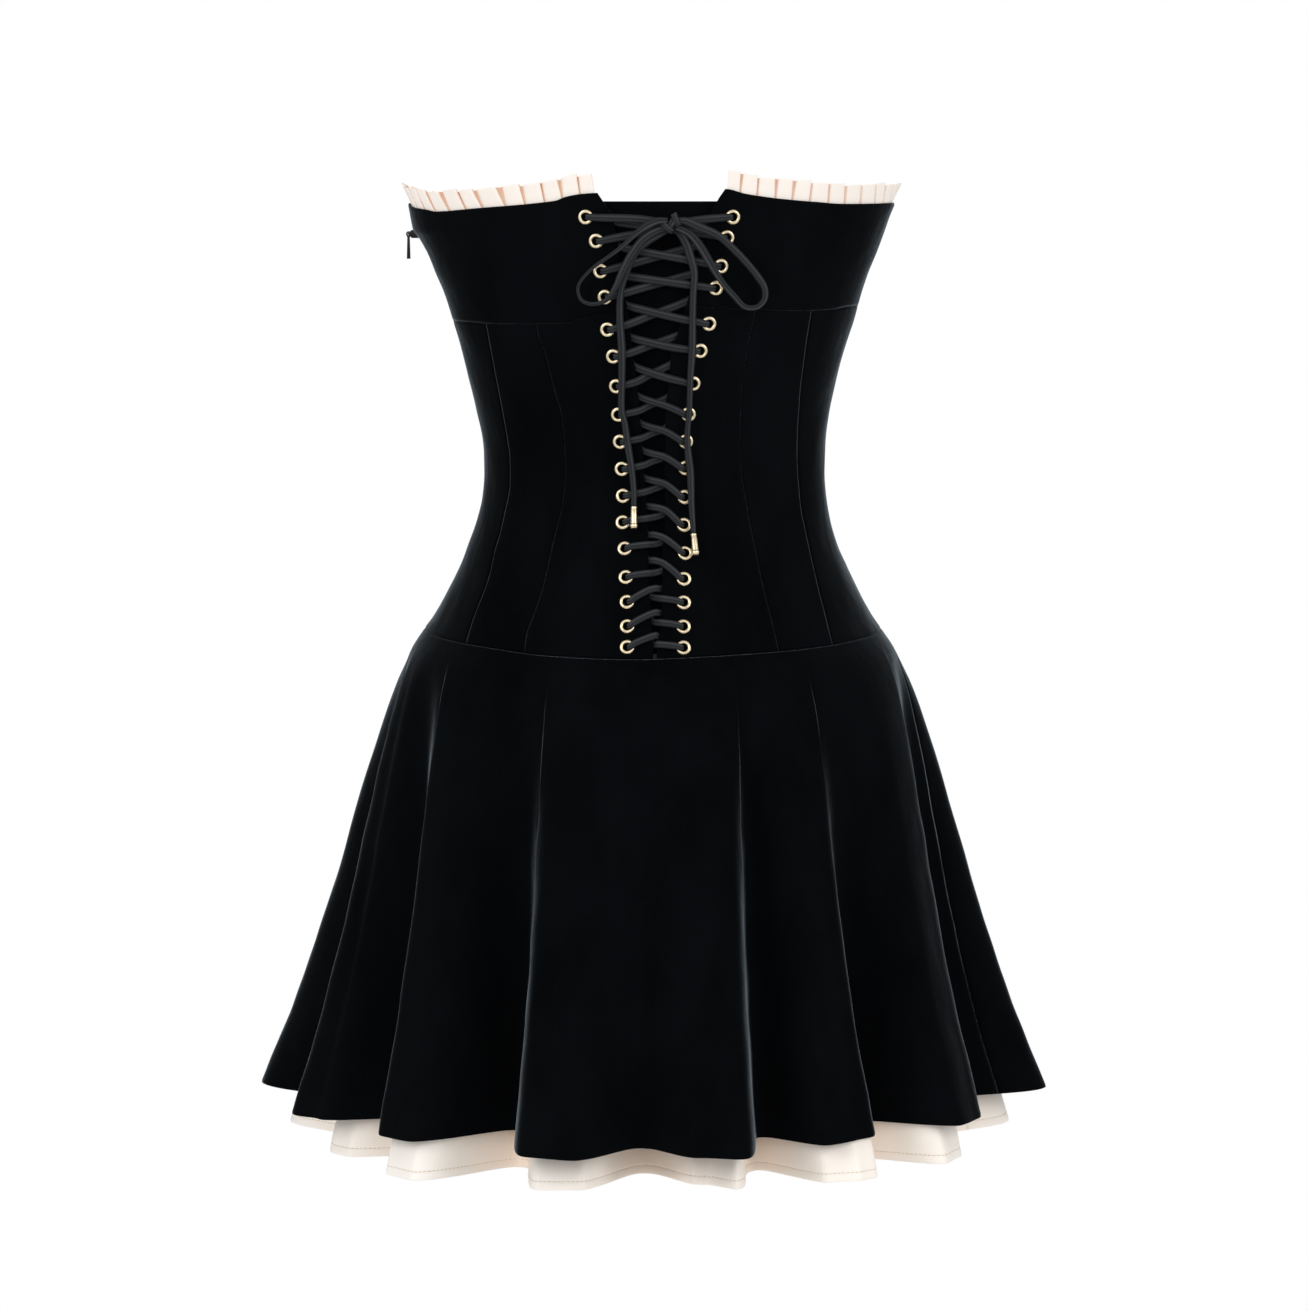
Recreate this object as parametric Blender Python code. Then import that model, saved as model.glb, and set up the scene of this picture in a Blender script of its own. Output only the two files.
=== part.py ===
# Strapless velvet mini dress with a laced back, as worn, at true size.
# Tables are in millimetres and degrees. -Y is the wearer's back, +Z is up.
# Angle 0 is the centre back, positive towards +X, and 180 is the centre front.
import bpy
import numpy as np

for item in list(bpy.data.objects):
    bpy.data.objects.remove(item, do_unlink=True)

MM = 0.001
SEAM_GAP = 0.3
VELVET = 1.5
SATIN = 1.0
HEM_Z = -432.0
UNDER_HEM_Z = -458.0
RIDGE_RADIUS = 279.0

# Body sections: height, half width on the left, half width on the right, depth back, depth front
SECTIONS = [
    (-122, 173.0, 172.0, 129.5, 117.5),
    (-108, 165.4, 163.6, 124.5, 114.4),
    (-96, 156.8, 155.4, 119.5, 111.5),
    (-79, 147.4, 146.2, 112.5, 107.0),
    (-60, 137.8, 137.0, 105.0, 102.4),
    (-46, 132.6, 130.9, 99.0, 99.0),
    (-27, 125.8, 125.2, 90.8, 94.8),
    (-10, 121.9, 122.6, 86.0, 91.0),
    (5, 120.7, 121.5, 84.5, 89.5),
    (23, 121.4, 121.8, 85.0, 90.0),
    (50, 126.2, 124.9, 88.0, 94.0),
    (69, 130.7, 128.9, 91.0, 99.0),
    (95, 137.2, 135.8, 95.0, 108.0),
    (112, 142.3, 141.4, 97.0, 112.0),
    (132, 148.4, 146.9, 99.0, 114.0),
    (145, 154.0, 151.2, 100.0, 114.0),
    (161, 160.4, 157.6, 101.0, 112.0),
    (172, 166.6, 161.6, 102.0, 109.2),
    (176, 170.0, 163.0, 102.1, 108.0),
    (185, 172.1, 166.2, 102.5, 105.0),
    (197, 174.5, 171.0, 103.0, 101.0),
    (215, 181.0, 178.0, 104.0, 99.0),
]

# Top edge of the velvet: angle, height
TOP_EDGE = [
    (-180, 178), (-140, 185), (-110, 192), (-90, 196), (-80, 193), (-67, 190.6),
    (-61.8, 189.3), (-43.8, 191.5), (-23, 196), (-20.4, 198.6), (-16.6, 200.6),
    (-12.9, 201.3), (16.3, 204), (21.6, 200.7), (30.8, 197.4), (41, 195.5),
    (50, 194.3), (66, 194.7), (78, 195.4), (90, 196), (110, 192), (140, 185),
    (180, 178),
]

# Seam under the upper back band: angle, height
BAND_SEAM = [
    (-90, 113), (-67, 112.6), (-49, 111.6), (-25.7, 112.4), (-15.3, 119.5), (-7, 121),
    (7, 124.5), (13.3, 123.7), (21.5, 122.9), (33.4, 121.5), (47.8, 120.6), (59, 121.2),
    (70, 123), (90, 124),
]

# Drop-waist seam: angle, height
DROP_SEAM = [
    (-180, -110), (-135, -108), (-90, -105.5), (-79, -105.8), (-61, -108.3), (-41.5, -111.4),
    (-27, -114.4), (-5.6, -115.9), (7, -114.8), (20.7, -113.3), (40.5, -111.2), (60.4, -108.3),
    (75, -106.5), (90, -105.5), (135, -108), (180, -110),
]

# Lacing edges of the back opening: height, x of the left edge, x of the right edge
OPENING = [
    (-118, -0.6, 1.6), (-108, -0.7, 2.4), (-90, -1.7, 5.1), (-60, -3.8, 5.8), (-38, -4.2, 6.4),
    (-24, -4.6, 7.6), (4, -6.6, 7.4), (52, -10, 8), (70, -11.7, 10), (94, -14.7, 12.2),
    (111, -16.8, 18.2), (187, -29, 39.3), (196, -35.2, 43.4), (204, -40.5, 48.8),
]

# Princess seams: height, then x on the left and on the right
INNER_SEAMS = [
    (-118, -90.5, 87), (-100, -88, 83.8), (-89, -84, 81), (-73, -78.5, 77), (-58, -74.6, 73.6),
    (-42, -71, 70.6), (-26, -67, 67), (-10, -63.6, 64.2), (5, -62, 61.5), (23, -62.1, 60.1),
    (47, -64.2, 60.4), (61, -68, 60.6), (77, -72.2, 62), (93, -76.2, 64.5), (104, -80.4, 66.6),
    (125, -82.4, 71),
]
OUTER_SEAMS = [
    (-118, -133.5, 127), (-106, -130.6, 123.8), (-89, -125.2, 119.8), (-76, -119.9, 116.2),
    (-63, -115.8, 113.2), (-46, -112, 109.5), (-33, -108.2, 106.8), (-17, -104.6, 103.7),
    (0, -101.6, 102), (18, -101.8, 101), (31, -103.3, 101), (54, -107.3, 102), (68, -110, 103),
    (94, -114.6, 106), (125, -120, 110.5),
]

# Eyelets from the top down: x and height on the left, x and height on the right
EYELETS = [
    (-46.8, 185.0, 54.0, 185.0), (-39.6, 168.7, 50.0, 171.0), (-36.6, 148.2, 45.9, 151.6),
    (-33.6, 130.5, 42.4, 136.6), (-32.0, 108.2, 37.8, 112.2), (-28.0, 89.8, 31.8, 93.6),
    (-26.0, 69.2, 27.0, 71.1), (-24.6, 49.6, 23.8, 49.8), (-23.4, 30.8, 22.0, 31.0),
    (-22.2, 12.0, 21.8, 12.6), (-21.4, -6.6, 21.2, -7.4), (-21.6, -24.6, 20.8, -26.4),
    (-20.2, -42.2, 21.4, -45.4), (-19.4, -61.4, 20.6, -62.6), (-18.6, -78.0, 20.4, -78.4),
    (-18.4, -94.2, 20.2, -94.4), (-18.4, -108.0, 20.2, -108.4),
]

# Where each skirt fold leaves the seam: angle at the hem, angle at the seam
FOLD_SPREAD = [
    (-180, -180), (-135, -141), (-90, -103), (-74, -90), (-64, -81), (-44, -55.5),
    (-22, -23.7), (0, -2), (17, 19.2), (38, 36), (59, 72), (77, 90), (90, 101), (135, 140),
    (180, 180),
]

# Folds round the velvet hem: angle, radius at each ridge and valley in turn
VELVET_FOLDS = [
    (-189, 232), (-175, 268), (-160, 230), (-146, 268), (-131, 228), (-117, 272), (-102, 238),
    (-88, 283), (-72.5, 238), (-63, 280), (-58.5, 271), (-50.5, 226), (-43, 270), (-38, 271),
    (-27.5, 202), (-18, 276), (-11.5, 279), (-2, 236), (6.5, 267), (12.5, 276), (19.5, 214),
    (27.5, 255), (36, 249), (43.5, 208), (52.5, 266), (58, 264), (70, 220), (84, 282),
    (101, 236), (116, 272), (130, 228), (144, 268), (158, 230), (171, 268), (185, 232),
]

# Folds round the satin hem: angle, radius at each ridge and valley in turn
SATIN_FOLDS = [
    (-190, 214), (-175, 252), (-160, 212), (-146, 252), (-131, 212), (-117, 254), (-102, 220),
    (-86, 262), (-72.5, 230), (-61, 257), (-57.5, 254), (-50.5, 218), (-43.5, 267), (-37.5, 270),
    (-27.5, 198), (-18, 258), (-12, 252), (-2, 196), (8, 232), (13.5, 250), (20.5, 198),
    (28, 252), (35.5, 260), (43.5, 206), (51, 258), (56.5, 254), (70, 214), (87, 256),
    (103, 220), (116, 254), (130, 212), (144, 252), (158, 212), (170, 252), (185, 214),
]

# Skirt profile from the seam to the hem: share of the drop, share of the flare
FLARE = [
    (0, 0), (0.04, 0.08), (0.09, 0.153), (0.123, 0.195), (0.27, 0.335), (0.4, 0.44),
    (0.566, 0.57), (0.705, 0.692), (0.831, 0.811), (0.94, 0.93), (1, 1), (1.1, 1.11),
]
SKIRT_ROWS = [0, 0.08, 0.2, 0.42, 0.7, 1]
FOLDS_START = 0.05
FOLDS_GROW = 0.88
BACK_COLUMNS = 4
FRONT_COLUMNS = 3


def column(table, index):
    return np.array([row[index] for row in table], float)


def smooth(table, index, at):
    """A curve through one column of a table, against its first column, that never overshoots."""
    xs = column(table, 0)
    ys = column(table, index)
    at = np.clip(np.asarray(at, float), xs[0], xs[-1])
    step = np.diff(xs)
    slope = np.diff(ys) / step
    same_way = slope[:-1] * slope[1:] > 0
    total = np.where(same_way, slope[:-1] + slope[1:], 1.0)
    inner = np.where(same_way, 2 * slope[:-1] * slope[1:] / total, 0.0)
    lean = np.concatenate([[slope[0]], inner, [slope[-1]]])
    i = np.clip(np.searchsorted(xs, at) - 1, 0, len(step) - 1)
    t = (at - xs[i]) / step[i]
    rise = ys[i] * (1 - 3 * t**2 + 2 * t**3) + ys[i + 1] * (3 * t**2 - 2 * t**3)
    return rise + step[i] * (lean[i] * (t - 2 * t**2 + t**3) + lean[i + 1] * (t**3 - t**2))


def waves(table, at):
    """A wave with its ridges and valleys at the rows of a table."""
    xs = column(table, 0)
    ys = column(table, 1)
    i = np.clip(np.searchsorted(xs, at) - 1, 0, len(xs) - 2)
    t = (at - xs[i]) / (xs[i + 1] - xs[i])
    return ys[i] + (ys[i + 1] - ys[i]) * (0.5 - 0.5 * np.cos(np.pi * t))


def unit(vectors):
    return vectors / np.linalg.norm(vectors, axis=-1, keepdims=True)


def half_width(side, z):
    """Half the body's width at a height, on the left where side is negative."""
    return np.where(np.asarray(side) < 0, smooth(SECTIONS, 1, z), smooth(SECTIONS, 2, z))


def body(angle, z):
    """The outside of the worn bodice at an angle and a height."""
    turn = np.radians(angle)
    back = smooth(SECTIONS, 3, z)
    front = smooth(SECTIONS, 4, z)
    x = half_width(np.sin(turn), z) * np.sin(turn)
    y = -np.where(np.cos(turn) > 0, back, front) * np.cos(turn)
    bust = np.exp(-(((np.abs(x) - 66) / 40) ** 2) - ((z - 138) / 42) ** 2)
    y = y + np.where(np.cos(turn) < 0, 15 * bust * np.cos(turn) ** 2, 0)
    return np.stack([x, y, z + 0 * x], axis=-1)


def raised(surface, first, second, out, step=0.5):
    """Points of a surface moved out along its normal."""
    along = surface(first + step, second) - surface(first - step, second)
    lift = step if surface is body else 0.01
    across = surface(first, second + lift) - surface(first, second - lift)
    normal = unit(np.cross(along, across))
    return surface(first, second) + np.asarray(out)[..., None] * normal


def back_angle(x, z):
    return np.degrees(np.arcsin(np.clip(x / half_width(x, z), -1, 1)))


def on_back(x, z, out):
    """A point over the back at a distance out from the bodice."""
    x = np.asarray(x, float)
    z = np.asarray(z, float)
    return raised(body, back_angle(x, z), z, out)


def material(name, color, roughness, metallic=0.0):
    made = bpy.data.materials.new(name)
    made.use_nodes = True
    shader = made.node_tree.nodes["Principled BSDF"]
    shader.inputs["Base Color"].default_value = (*color, 1)
    shader.inputs["Roughness"].default_value = roughness
    shader.inputs["Metallic"].default_value = metallic
    return made


def node(name, points, faces, made_of, origin=(0, 0, 0)):
    """A mesh object with its own copy of a material, and its origin at a given place."""
    origin = np.asarray(origin, float)
    mesh = bpy.data.meshes.new(name)
    mesh.from_pydata(((np.asarray(points) - origin) * MM).tolist(), [], faces)
    own = made_of.copy()
    own.name = name + "_" + made_of.name
    mesh.materials.append(own)
    obj = bpy.data.objects.new(name, mesh)
    obj.location = origin * MM
    bpy.context.scene.collection.objects.link(obj)
    return obj


def shell(name, outer, inner, made_of):
    """A cloth wall between two grids of points, cut the same way on both faces and closed all round."""
    rows, columns = outer.shape[:2]
    points = np.concatenate([outer.reshape(-1, 3), inner.reshape(-1, 3)])
    back = rows * columns
    faces = []
    for j in range(rows - 1):
        for i in range(columns - 1):
            a = j * columns + i
            b = a + 1
            c = b + columns
            d = a + columns
            faces.append((a, b, c))
            faces.append((a, c, d))
            faces.append((c + back, b + back, a + back))
            faces.append((d + back, c + back, a + back))
    rim = [i for i in range(columns)]
    rim += [j * columns + columns - 1 for j in range(1, rows)]
    rim += [(rows - 1) * columns + i for i in range(columns - 2, -1, -1)]
    rim += [j * columns for j in range(rows - 2, 0, -1)]
    for a, b in zip(rim, rim[1:] + rim[:1]):
        faces.append((b, a, a + back, b + back))
    return node(name, points, faces, made_of)


def panel(name, left, right, bottom, top, columns, rows, made_of, out=0.0, wall=VELVET):
    """A bodice panel between two edges and two seams, with half a seam gap left all round."""
    share = np.linspace(0, 1, rows + 1)[:, None]

    def height(angle):
        low = bottom(angle)
        return low + share * (top(angle) - low)

    edges = []
    for edge, way in ((left, 1), (right, -1)):
        angle = edge(np.zeros_like(share))
        for _ in range(12):
            angle = edge(height(angle))
        reach = np.linalg.norm(body(angle + 1, height(angle)) - body(angle, height(angle)), axis=-1)
        edges.append(angle + way * 0.5 * SEAM_GAP / reach)
    if isinstance(columns, int):
        columns = np.linspace(0, 1, columns + 1)
    angles = edges[0] + columns[None, :] * (edges[1] - edges[0])
    z = height(angles)
    outer = raised(body, angles, z, out)
    inner = raised(body, angles, z, out - wall)
    inner[..., 2] = outer[..., 2]
    return shell(name, outer, inner, made_of)


def meeting_columns(edges, counts):
    """Column shares of an upper band that match the columns of the panels under it."""
    marks = []
    for edge in edges:
        angle = edge(np.array(115.0))
        for _ in range(12):
            angle = edge(smooth(BAND_SEAM, 1, angle))
        marks.append(float(angle))
    angles = []
    for low, high, count in zip(marks[:-1], marks[1:], counts):
        angles.extend(np.linspace(low, high, count + 1)[:-1])
    angles = np.array(angles + marks[-1:])
    return (angles - marks[0]) / (marks[-1] - marks[0])


def seam_curve(table, shift=0.0):
    return lambda angle: smooth(table, 1, angle) + shift


def edge_curve(table, index):
    return lambda z: back_angle(smooth(table, index, z), z)


def fixed_edge(angle):
    return lambda z: np.full_like(z, float(angle))


def tube(name, path, wide, thick, made_of, upright):
    """A flat braid along a path. Its width keeps near a given direction."""
    path = np.asarray(path, float)
    wide = np.broadcast_to(wide, len(path))
    ahead = np.gradient(path, axis=0)
    ahead = unit(ahead)
    upright = np.broadcast_to(upright, path.shape)
    side = unit(upright - np.sum(upright * ahead, axis=1, keepdims=True) * ahead)
    lift = np.cross(ahead, side)
    rings = []
    for a, b in ((-1, -1), (1, -1), (1, 1), (-1, 1)):
        rings.append(path + side * (a * wide / 2)[:, None] + lift * (b * thick / 2))
    points = np.stack(rings, axis=1).reshape(-1, 3)
    faces = [(3, 2, 1, 0)]
    for j in range(len(path) - 1):
        for i in range(4):
            a = 4 * j + i
            b = 4 * j + (i + 1) % 4
            faces.append((a, b, b + 4, a + 4))
    last = 4 * (len(path) - 1)
    faces.append((last, last + 1, last + 2, last + 3))
    return node(name, points, faces, made_of)


def frame_at(center, axis, points):
    """Points given across and along an axis, placed at a centre."""
    axis = unit(np.asarray(axis, float))
    side = unit(np.cross([0, 0, 1.0] if abs(axis[2]) < 0.9 else [1.0, 0, 0], axis))
    other = np.cross(axis, side)
    return center + points @ np.array([side, other, axis])


def lathe(name, center, axis, profile, sides, made_of, hollow):
    """A turned piece from a profile of radius and height."""
    points = []
    for radius, height in profile:
        for k in range(sides):
            turn = 2 * np.pi * k / sides
            points.append((radius * np.cos(turn), radius * np.sin(turn), height))
    placed = frame_at(np.asarray(center, float), axis, np.array(points))
    rings = len(profile)
    faces = []
    for j in range(rings if hollow else rings - 1):
        for k in range(sides):
            a = j * sides + k
            b = j * sides + (k + 1) % sides
            c = (j + 1) % rings * sides + (k + 1) % sides
            d = (j + 1) % rings * sides + k
            faces.append((a, b, c, d))
    if not hollow:
        faces.append(tuple(range(sides))[::-1])
        faces.append(tuple(range((rings - 1) * sides, rings * sides)))
    return node(name, placed, faces, made_of)


velvet = material("velvet", (0.006, 0.007, 0.009), 0.85)
satin = material("satin", (0.93, 0.86, 0.76), 0.4)
pleated = material("pleated_satin", (0.93, 0.85, 0.74), 0.5)
braid = material("braid", (0.025, 0.028, 0.032), 0.7)
gold = material("gold", (0.83, 0.66, 0.38), 0.25, 1.0)
dark_metal = material("dark_metal", (0.02, 0.02, 0.022), 0.4, 1.0)

top_edge = seam_curve(TOP_EDGE)
over_band = seam_curve(BAND_SEAM, SEAM_GAP / 2)
under_band = seam_curve(BAND_SEAM, -SEAM_GAP / 2)
drop_seam = seam_curve(DROP_SEAM)
opening_left = edge_curve(OPENING, 1)
opening_right = edge_curve(OPENING, 2)
inner_left = edge_curve(INNER_SEAMS, 1)
inner_right = edge_curve(INNER_SEAMS, 2)
outer_left = edge_curve(OUTER_SEAMS, 1)
outer_right = edge_curve(OUTER_SEAMS, 2)
side_left = fixed_edge(-90)
side_right = fixed_edge(90)

# Upper back bands and lower back panels
CENTER_COLUMNS = 5
SIDE_BACK_COLUMNS = 3
SIDE_COLUMNS = 4
BAND_ROWS = 5
PANEL_ROWS = 14
left_columns = meeting_columns(
    [side_left, outer_left, inner_left, opening_left],
    [SIDE_COLUMNS, SIDE_BACK_COLUMNS, CENTER_COLUMNS],
)
right_columns = meeting_columns(
    [opening_right, inner_right, outer_right, side_right],
    [CENTER_COLUMNS, SIDE_BACK_COLUMNS, SIDE_COLUMNS],
)


def lower_panel(name, left, right, columns):
    return panel(name, left, right, drop_seam, under_band, columns, PANEL_ROWS, velvet)


panels = {
    "band_left": panel(
        "band_left", side_left, opening_left, over_band, top_edge, left_columns, BAND_ROWS, velvet
    ),
    "band_right": panel(
        "band_right", opening_right, side_right, over_band, top_edge, right_columns, BAND_ROWS, velvet
    ),
    "center_back_left": lower_panel("center_back_left", inner_left, opening_left, CENTER_COLUMNS),
    "center_back_right": lower_panel("center_back_right", opening_right, inner_right, CENTER_COLUMNS),
}
lower_panel("side_back_left", outer_left, inner_left, SIDE_BACK_COLUMNS)
lower_panel("side_back_right", inner_right, outer_right, SIDE_BACK_COLUMNS)
lower_panel("side_left", side_left, outer_left, SIDE_COLUMNS)
lower_panel("side_right", outer_right, side_right, SIDE_COLUMNS)

# Plain front in three panels
panel("front_right", side_right, fixed_edge(142), drop_seam, top_edge, 4, 12, velvet)
panel(
    "front_center",
    fixed_edge(142),
    fixed_edge(218),
    lambda a: drop_seam(180 - abs(180 - a)),
    lambda a: top_edge(180 - abs(180 - a)),
    6,
    12,
    velvet,
)
panel("front_left", fixed_edge(-142), side_left, drop_seam, top_edge, 4, 12, velvet)

# Plain panel behind the lacing
MODESTY_DEPTH = 6.0
MODESTY_TOP = 195.4
MODESTY_BOTTOM = -104.0
panel(
    "modesty_panel",
    edge_curve([(-120, -48.0), (0, -48.0), (140, -54.0), (200, -56.0)], 1),
    edge_curve([(-120, 50.0), (0, 50.0), (140, 60.0), (200, 64.0)], 1),
    lambda a: np.full_like(a, MODESTY_BOTTOM),
    lambda a: np.full_like(a, MODESTY_TOP),
    6,
    14,
    velvet,
    out=-MODESTY_DEPTH,
    wall=1.2,
)

# Eyelets, and the holes under them
RING = [(2.8, 0.5), (5.2, 0.5), (4.6, 1.2), (3.2, 1.2)]
HOLE_RADIUS = 3.0
BAND_EYELETS = 4


def hole_cutter(name, spots):
    points = []
    faces = []
    for x, z in spots:
        center = on_back(x, z, 0.0)
        axis = on_back(x, z, 1.0) - center
        turns = 2 * np.pi * (np.arange(8) + 0.5) / 8
        ring = np.stack([HOLE_RADIUS * np.cos(turns), HOLE_RADIUS * np.sin(turns)], axis=1)
        low = np.column_stack([ring, np.full(8, -5.0)])
        high = np.column_stack([ring, np.full(8, 4.0)])
        first = len(points)
        points.extend(frame_at(center, axis, np.concatenate([low, high])).tolist())
        faces.append(tuple(first + k for k in range(7, -1, -1)))
        faces.append(tuple(first + 8 + k for k in range(8)))
        for k in range(8):
            n = (k + 1) % 8
            faces.append((first + k, first + n, first + 8 + n, first + 8 + k))
    cutter = node(name, points, faces, velvet)
    cutter.hide_render = True
    cutter.display_type = "WIRE"
    return cutter


def cut_holes(target, spots):
    cutter = hole_cutter("cutter_" + target.name, spots)
    cut = target.modifiers.new("holes", "BOOLEAN")
    cut.operation = "DIFFERENCE"
    cut.solver = "EXACT"
    cut.object = cutter


left_spots = [row[:2] for row in EYELETS]
right_spots = [row[2:] for row in EYELETS]
cut_holes(panels["band_left"], left_spots[:BAND_EYELETS])
cut_holes(panels["band_right"], right_spots[:BAND_EYELETS])
cut_holes(panels["center_back_left"], left_spots[BAND_EYELETS:])
cut_holes(panels["center_back_right"], right_spots[BAND_EYELETS:])
for side, spots in (("left", left_spots), ("right", right_spots)):
    for k, (x, z) in enumerate(spots):
        center = on_back(x, z, 0.0)
        axis = on_back(x, z, 1.0) - center
        lathe(f"eyelet_{side}_{k + 1:02d}", center, axis, RING, 8, gold, True)

# Lacing: each strand leaves an eyelet, crosses the opening and goes under the other edge
LACE_WIDE = 4.8
LACE_THICK = 1.3
OVER = 2.3
UNDER = -3.4
KNOT = (12.0, 181.0, 7.4)


def lace_path(first_side):
    """Points of one lace from the bottom to the knot, as x, height, distance out and width."""
    rows = []
    side = first_side
    for k in range(len(EYELETS) - 1, -1, -1):
        spots = left_spots if side < 0 else right_spots
        others = right_spots if side < 0 else left_spots
        x, z = spots[k]
        if not rows:
            rows.append((side * 1.2 if side < 0 else side * 4.5, z - 1.0, UNDER, 4.6))
            rows.append((x - side * 5.5, z - 0.5, UNDER, 4.2))
        rows.append((x - side * 1.2, z, UNDER + 0.3, 3.2))
        rows.append((x + side * 0.9, z, -1.9, 3.0))
        rows.append((x + side * 0.9, z, 0.6, 3.0))
        rows.append((x - side * 1.2, z, OVER - 0.35, 3.4))
        if k == 0:
            rows.append((x - side * 7, z - 0.3, OVER + 0.1, 4.6))
            rows.append((KNOT[0] + side * 24, z - 1.2, 3.4, LACE_WIDE))
            rows.append((KNOT[0] + side * 7.4, KNOT[1] + 1.0, 4.3, 4.2))
            break
        there, up = others[k - 1]
        rise = up - z
        on_top = (side > 0) == (k < 14)
        leave, spread = (0.5, 0.45) if on_top else (0.14, 0.7)
        own = smooth(OPENING, 1 if side < 0 else 2, z + leave * rise)
        far = smooth(OPENING, 2 if side < 0 else 1, z + leave * rise)
        enter = leave + 0.05 + spread * abs(far - own) / abs(there - x)
        far = smooth(OPENING, 2 if side < 0 else 1, z + enter * rise)
        narrow = abs(far - own) < 9
        turn_share, turn_depth = (0.5 if narrow else 0.62, 0.9) if on_top else (0.4, -2.1)
        turn_x = own + turn_share * (far - own)
        turn_z = z + (leave + turn_share * (enter - leave)) * rise
        wide = LACE_WIDE if z > 60 else 4.2
        rows.append((x - side * 5.6, z + 0.3 * leave * rise, OVER, 4.2))
        rows.append((own, z + leave * rise, 1.6 if on_top else 1.3, wide))
        rows.append((turn_x, turn_z, turn_depth, wide))
        rows.append((far, z + enter * rise, -4.0 if narrow else -3.1, wide))
        rows.append((there + side * 5.5, up - 0.06 * rise, UNDER, 4.0))
        side = -side
    return np.array(rows)


def lace(name, first_side):
    rows = lace_path(first_side)
    path = on_back(rows[:, 0], rows[:, 1], rows[:, 2])
    upright = on_back(rows[:, 0], rows[:, 1] + 2, rows[:, 2]) - on_back(rows[:, 0], rows[:, 1] - 2, rows[:, 2])
    tube(name, path, rows[:, 3], LACE_THICK, braid, upright)


lace("lace_left", -1)
lace("lace_right", 1)

# Bow: a knot, two loops and two free tails with metal ends
knot_center = on_back(*KNOT[:2], KNOT[2])
knot_axis = on_back(*KNOT[:2], KNOT[2] + 1) - knot_center
KNOT_SHAPE = [(2.6, -3.0), (5.2, -1.6), (6.0, 0.4), (4.4, 2.4), (2.0, 3.2)]
bow = lathe("bow", knot_center, knot_axis, KNOT_SHAPE, 10, braid, False)

# Loops and tails: x, height, distance out
LOOP_LEFT = [
    (9.0, 183.6, 8.8), (2, 182.4, 9.0), (-4.5, 179.4, 8.8), (-11, 174.5, 8.6), (-28.3, 160.5, 8.4), (-44.1, 148.9, 8.2),
    (-52.6, 137.8, 8.0), (-50.6, 128.6, 7.8), (-42.8, 125.5, 7.6), (-33.4, 127.8, 7.4),
    (-27, 136, 7.2), (-19.5, 151.6, 7.0), (-9.9, 167.4, 6.9), (-2.2, 173.6, 6.8), (4.0, 176.4, 6.8),
    (9.4, 178.0, 6.8),
]
LOOP_RIGHT = [
    (15.2, 183.4, 8.8), (21.5, 182.4, 9.0), (28, 179.4, 8.9), (46.1, 171.3, 8.6), (61.2, 156.7, 8.4), (71, 146, 8.2),
    (76.8, 137.3, 8.0), (77.4, 129, 7.8), (71.8, 122.6, 7.6), (63.5, 122.6, 7.4), (55.2, 131, 7.2),
    (46.2, 141.4, 7.1), (37.9, 153.7, 7.0), (30.5, 166, 6.9), (24.8, 172.6, 6.8), (19.8, 175.8, 6.8),
    (14.6, 178.0, 6.8),
]
TAIL_LEFT = [
    (10.2, 177.2, 4.2), (3.5, 173.6, 4.3), (-3, 170.2, 4.3), (-8.6, 166, 4.3), (-13.6, 159.6, 4.3),
    (-18.6, 148, 4.3),
    (-22.2, 135.3, 4.3), (-22.9, 116.2, 4.3), (-21.6, 95.7, 4.3), (-21.6, 73.7, 4.3),
    (-21.7, 53, 4.3), (-19.6, 44, 4.3), (-17.6, 28.8, 4.4), (-14.8, 10.9, 4.8), (-13.5, -4.3, 5.6),
    (-13.4, -15.4, 6.2),
]
TAIL_RIGHT = [
    (14.0, 177.0, 4.2), (18.2, 172.8, 4.3), (21.6, 167.4, 4.3), (24.4, 158.4, 4.3), (27, 147.6, 4.3), (26.3, 131.9, 4.3),
    (25.9, 113, 4.3), (25.7, 95.7, 4.3), (24.4, 73.7, 4.3), (23.7, 53, 4.3), (22.4, 35, 4.3),
    (23.1, 22.6, 4.3), (24.5, 10.8, 4.3), (25.2, -13.9, 5.0), (26.3, -34.8, 6.2),
]


def facing(name, table, wide):
    rows = np.array(table, float)
    path = on_back(rows[:, 0], rows[:, 1], rows[:, 2])
    ahead = np.gradient(path, axis=0)
    outward = on_back(rows[:, 0], rows[:, 1], rows[:, 2] + 1) - path
    return tube(name, path, wide, LACE_THICK, braid, np.cross(outward, ahead))


for name, table in (("loop_left", LOOP_LEFT), ("loop_right", LOOP_RIGHT)):
    loop = facing(name, table, 4.8)
    loop.hide_render = True
    loop.display_type = "WIRE"
    joined = bow.modifiers.new(name, "BOOLEAN")
    joined.operation = "UNION"
    joined.solver = "EXACT"
    joined.object = loop
facing("tail_left", TAIL_LEFT, 4.6)
facing("tail_right", TAIL_RIGHT, 4.6)

AGLET = [(2.1, 0.0), (2.3, 12.0), (2.6, 12.6), (2.6, 14.0), (2.3, 15.0)]
for name, x, z, foot_x in (("aglet_left", -13.4, -15.7, -13.4), ("aglet_right", 26.4, -35.1, 28.0)):
    start = on_back(x, z, 6.2)
    end = on_back(foot_x, z - 15, 6.2)
    lathe(name, start, end - start, AGLET, 8, gold, False)

# Pleated ruffle set inside the top edge, from the notch round the front to the other notch
RUFFLE_START = 16.9
RUFFLE_END = 346.6
PLEATS = 60
RUFFLE_HEIGHT = 13.6
RUFFLE_TUCK = 4.0
PLEAT_DEPTH = 2.2
RUFFLE_LEAN = 0.24
RUFFLE_ROWS = [0.0, RUFFLE_TUCK / (RUFFLE_TUCK + RUFFLE_HEIGHT), 1.0]


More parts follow.
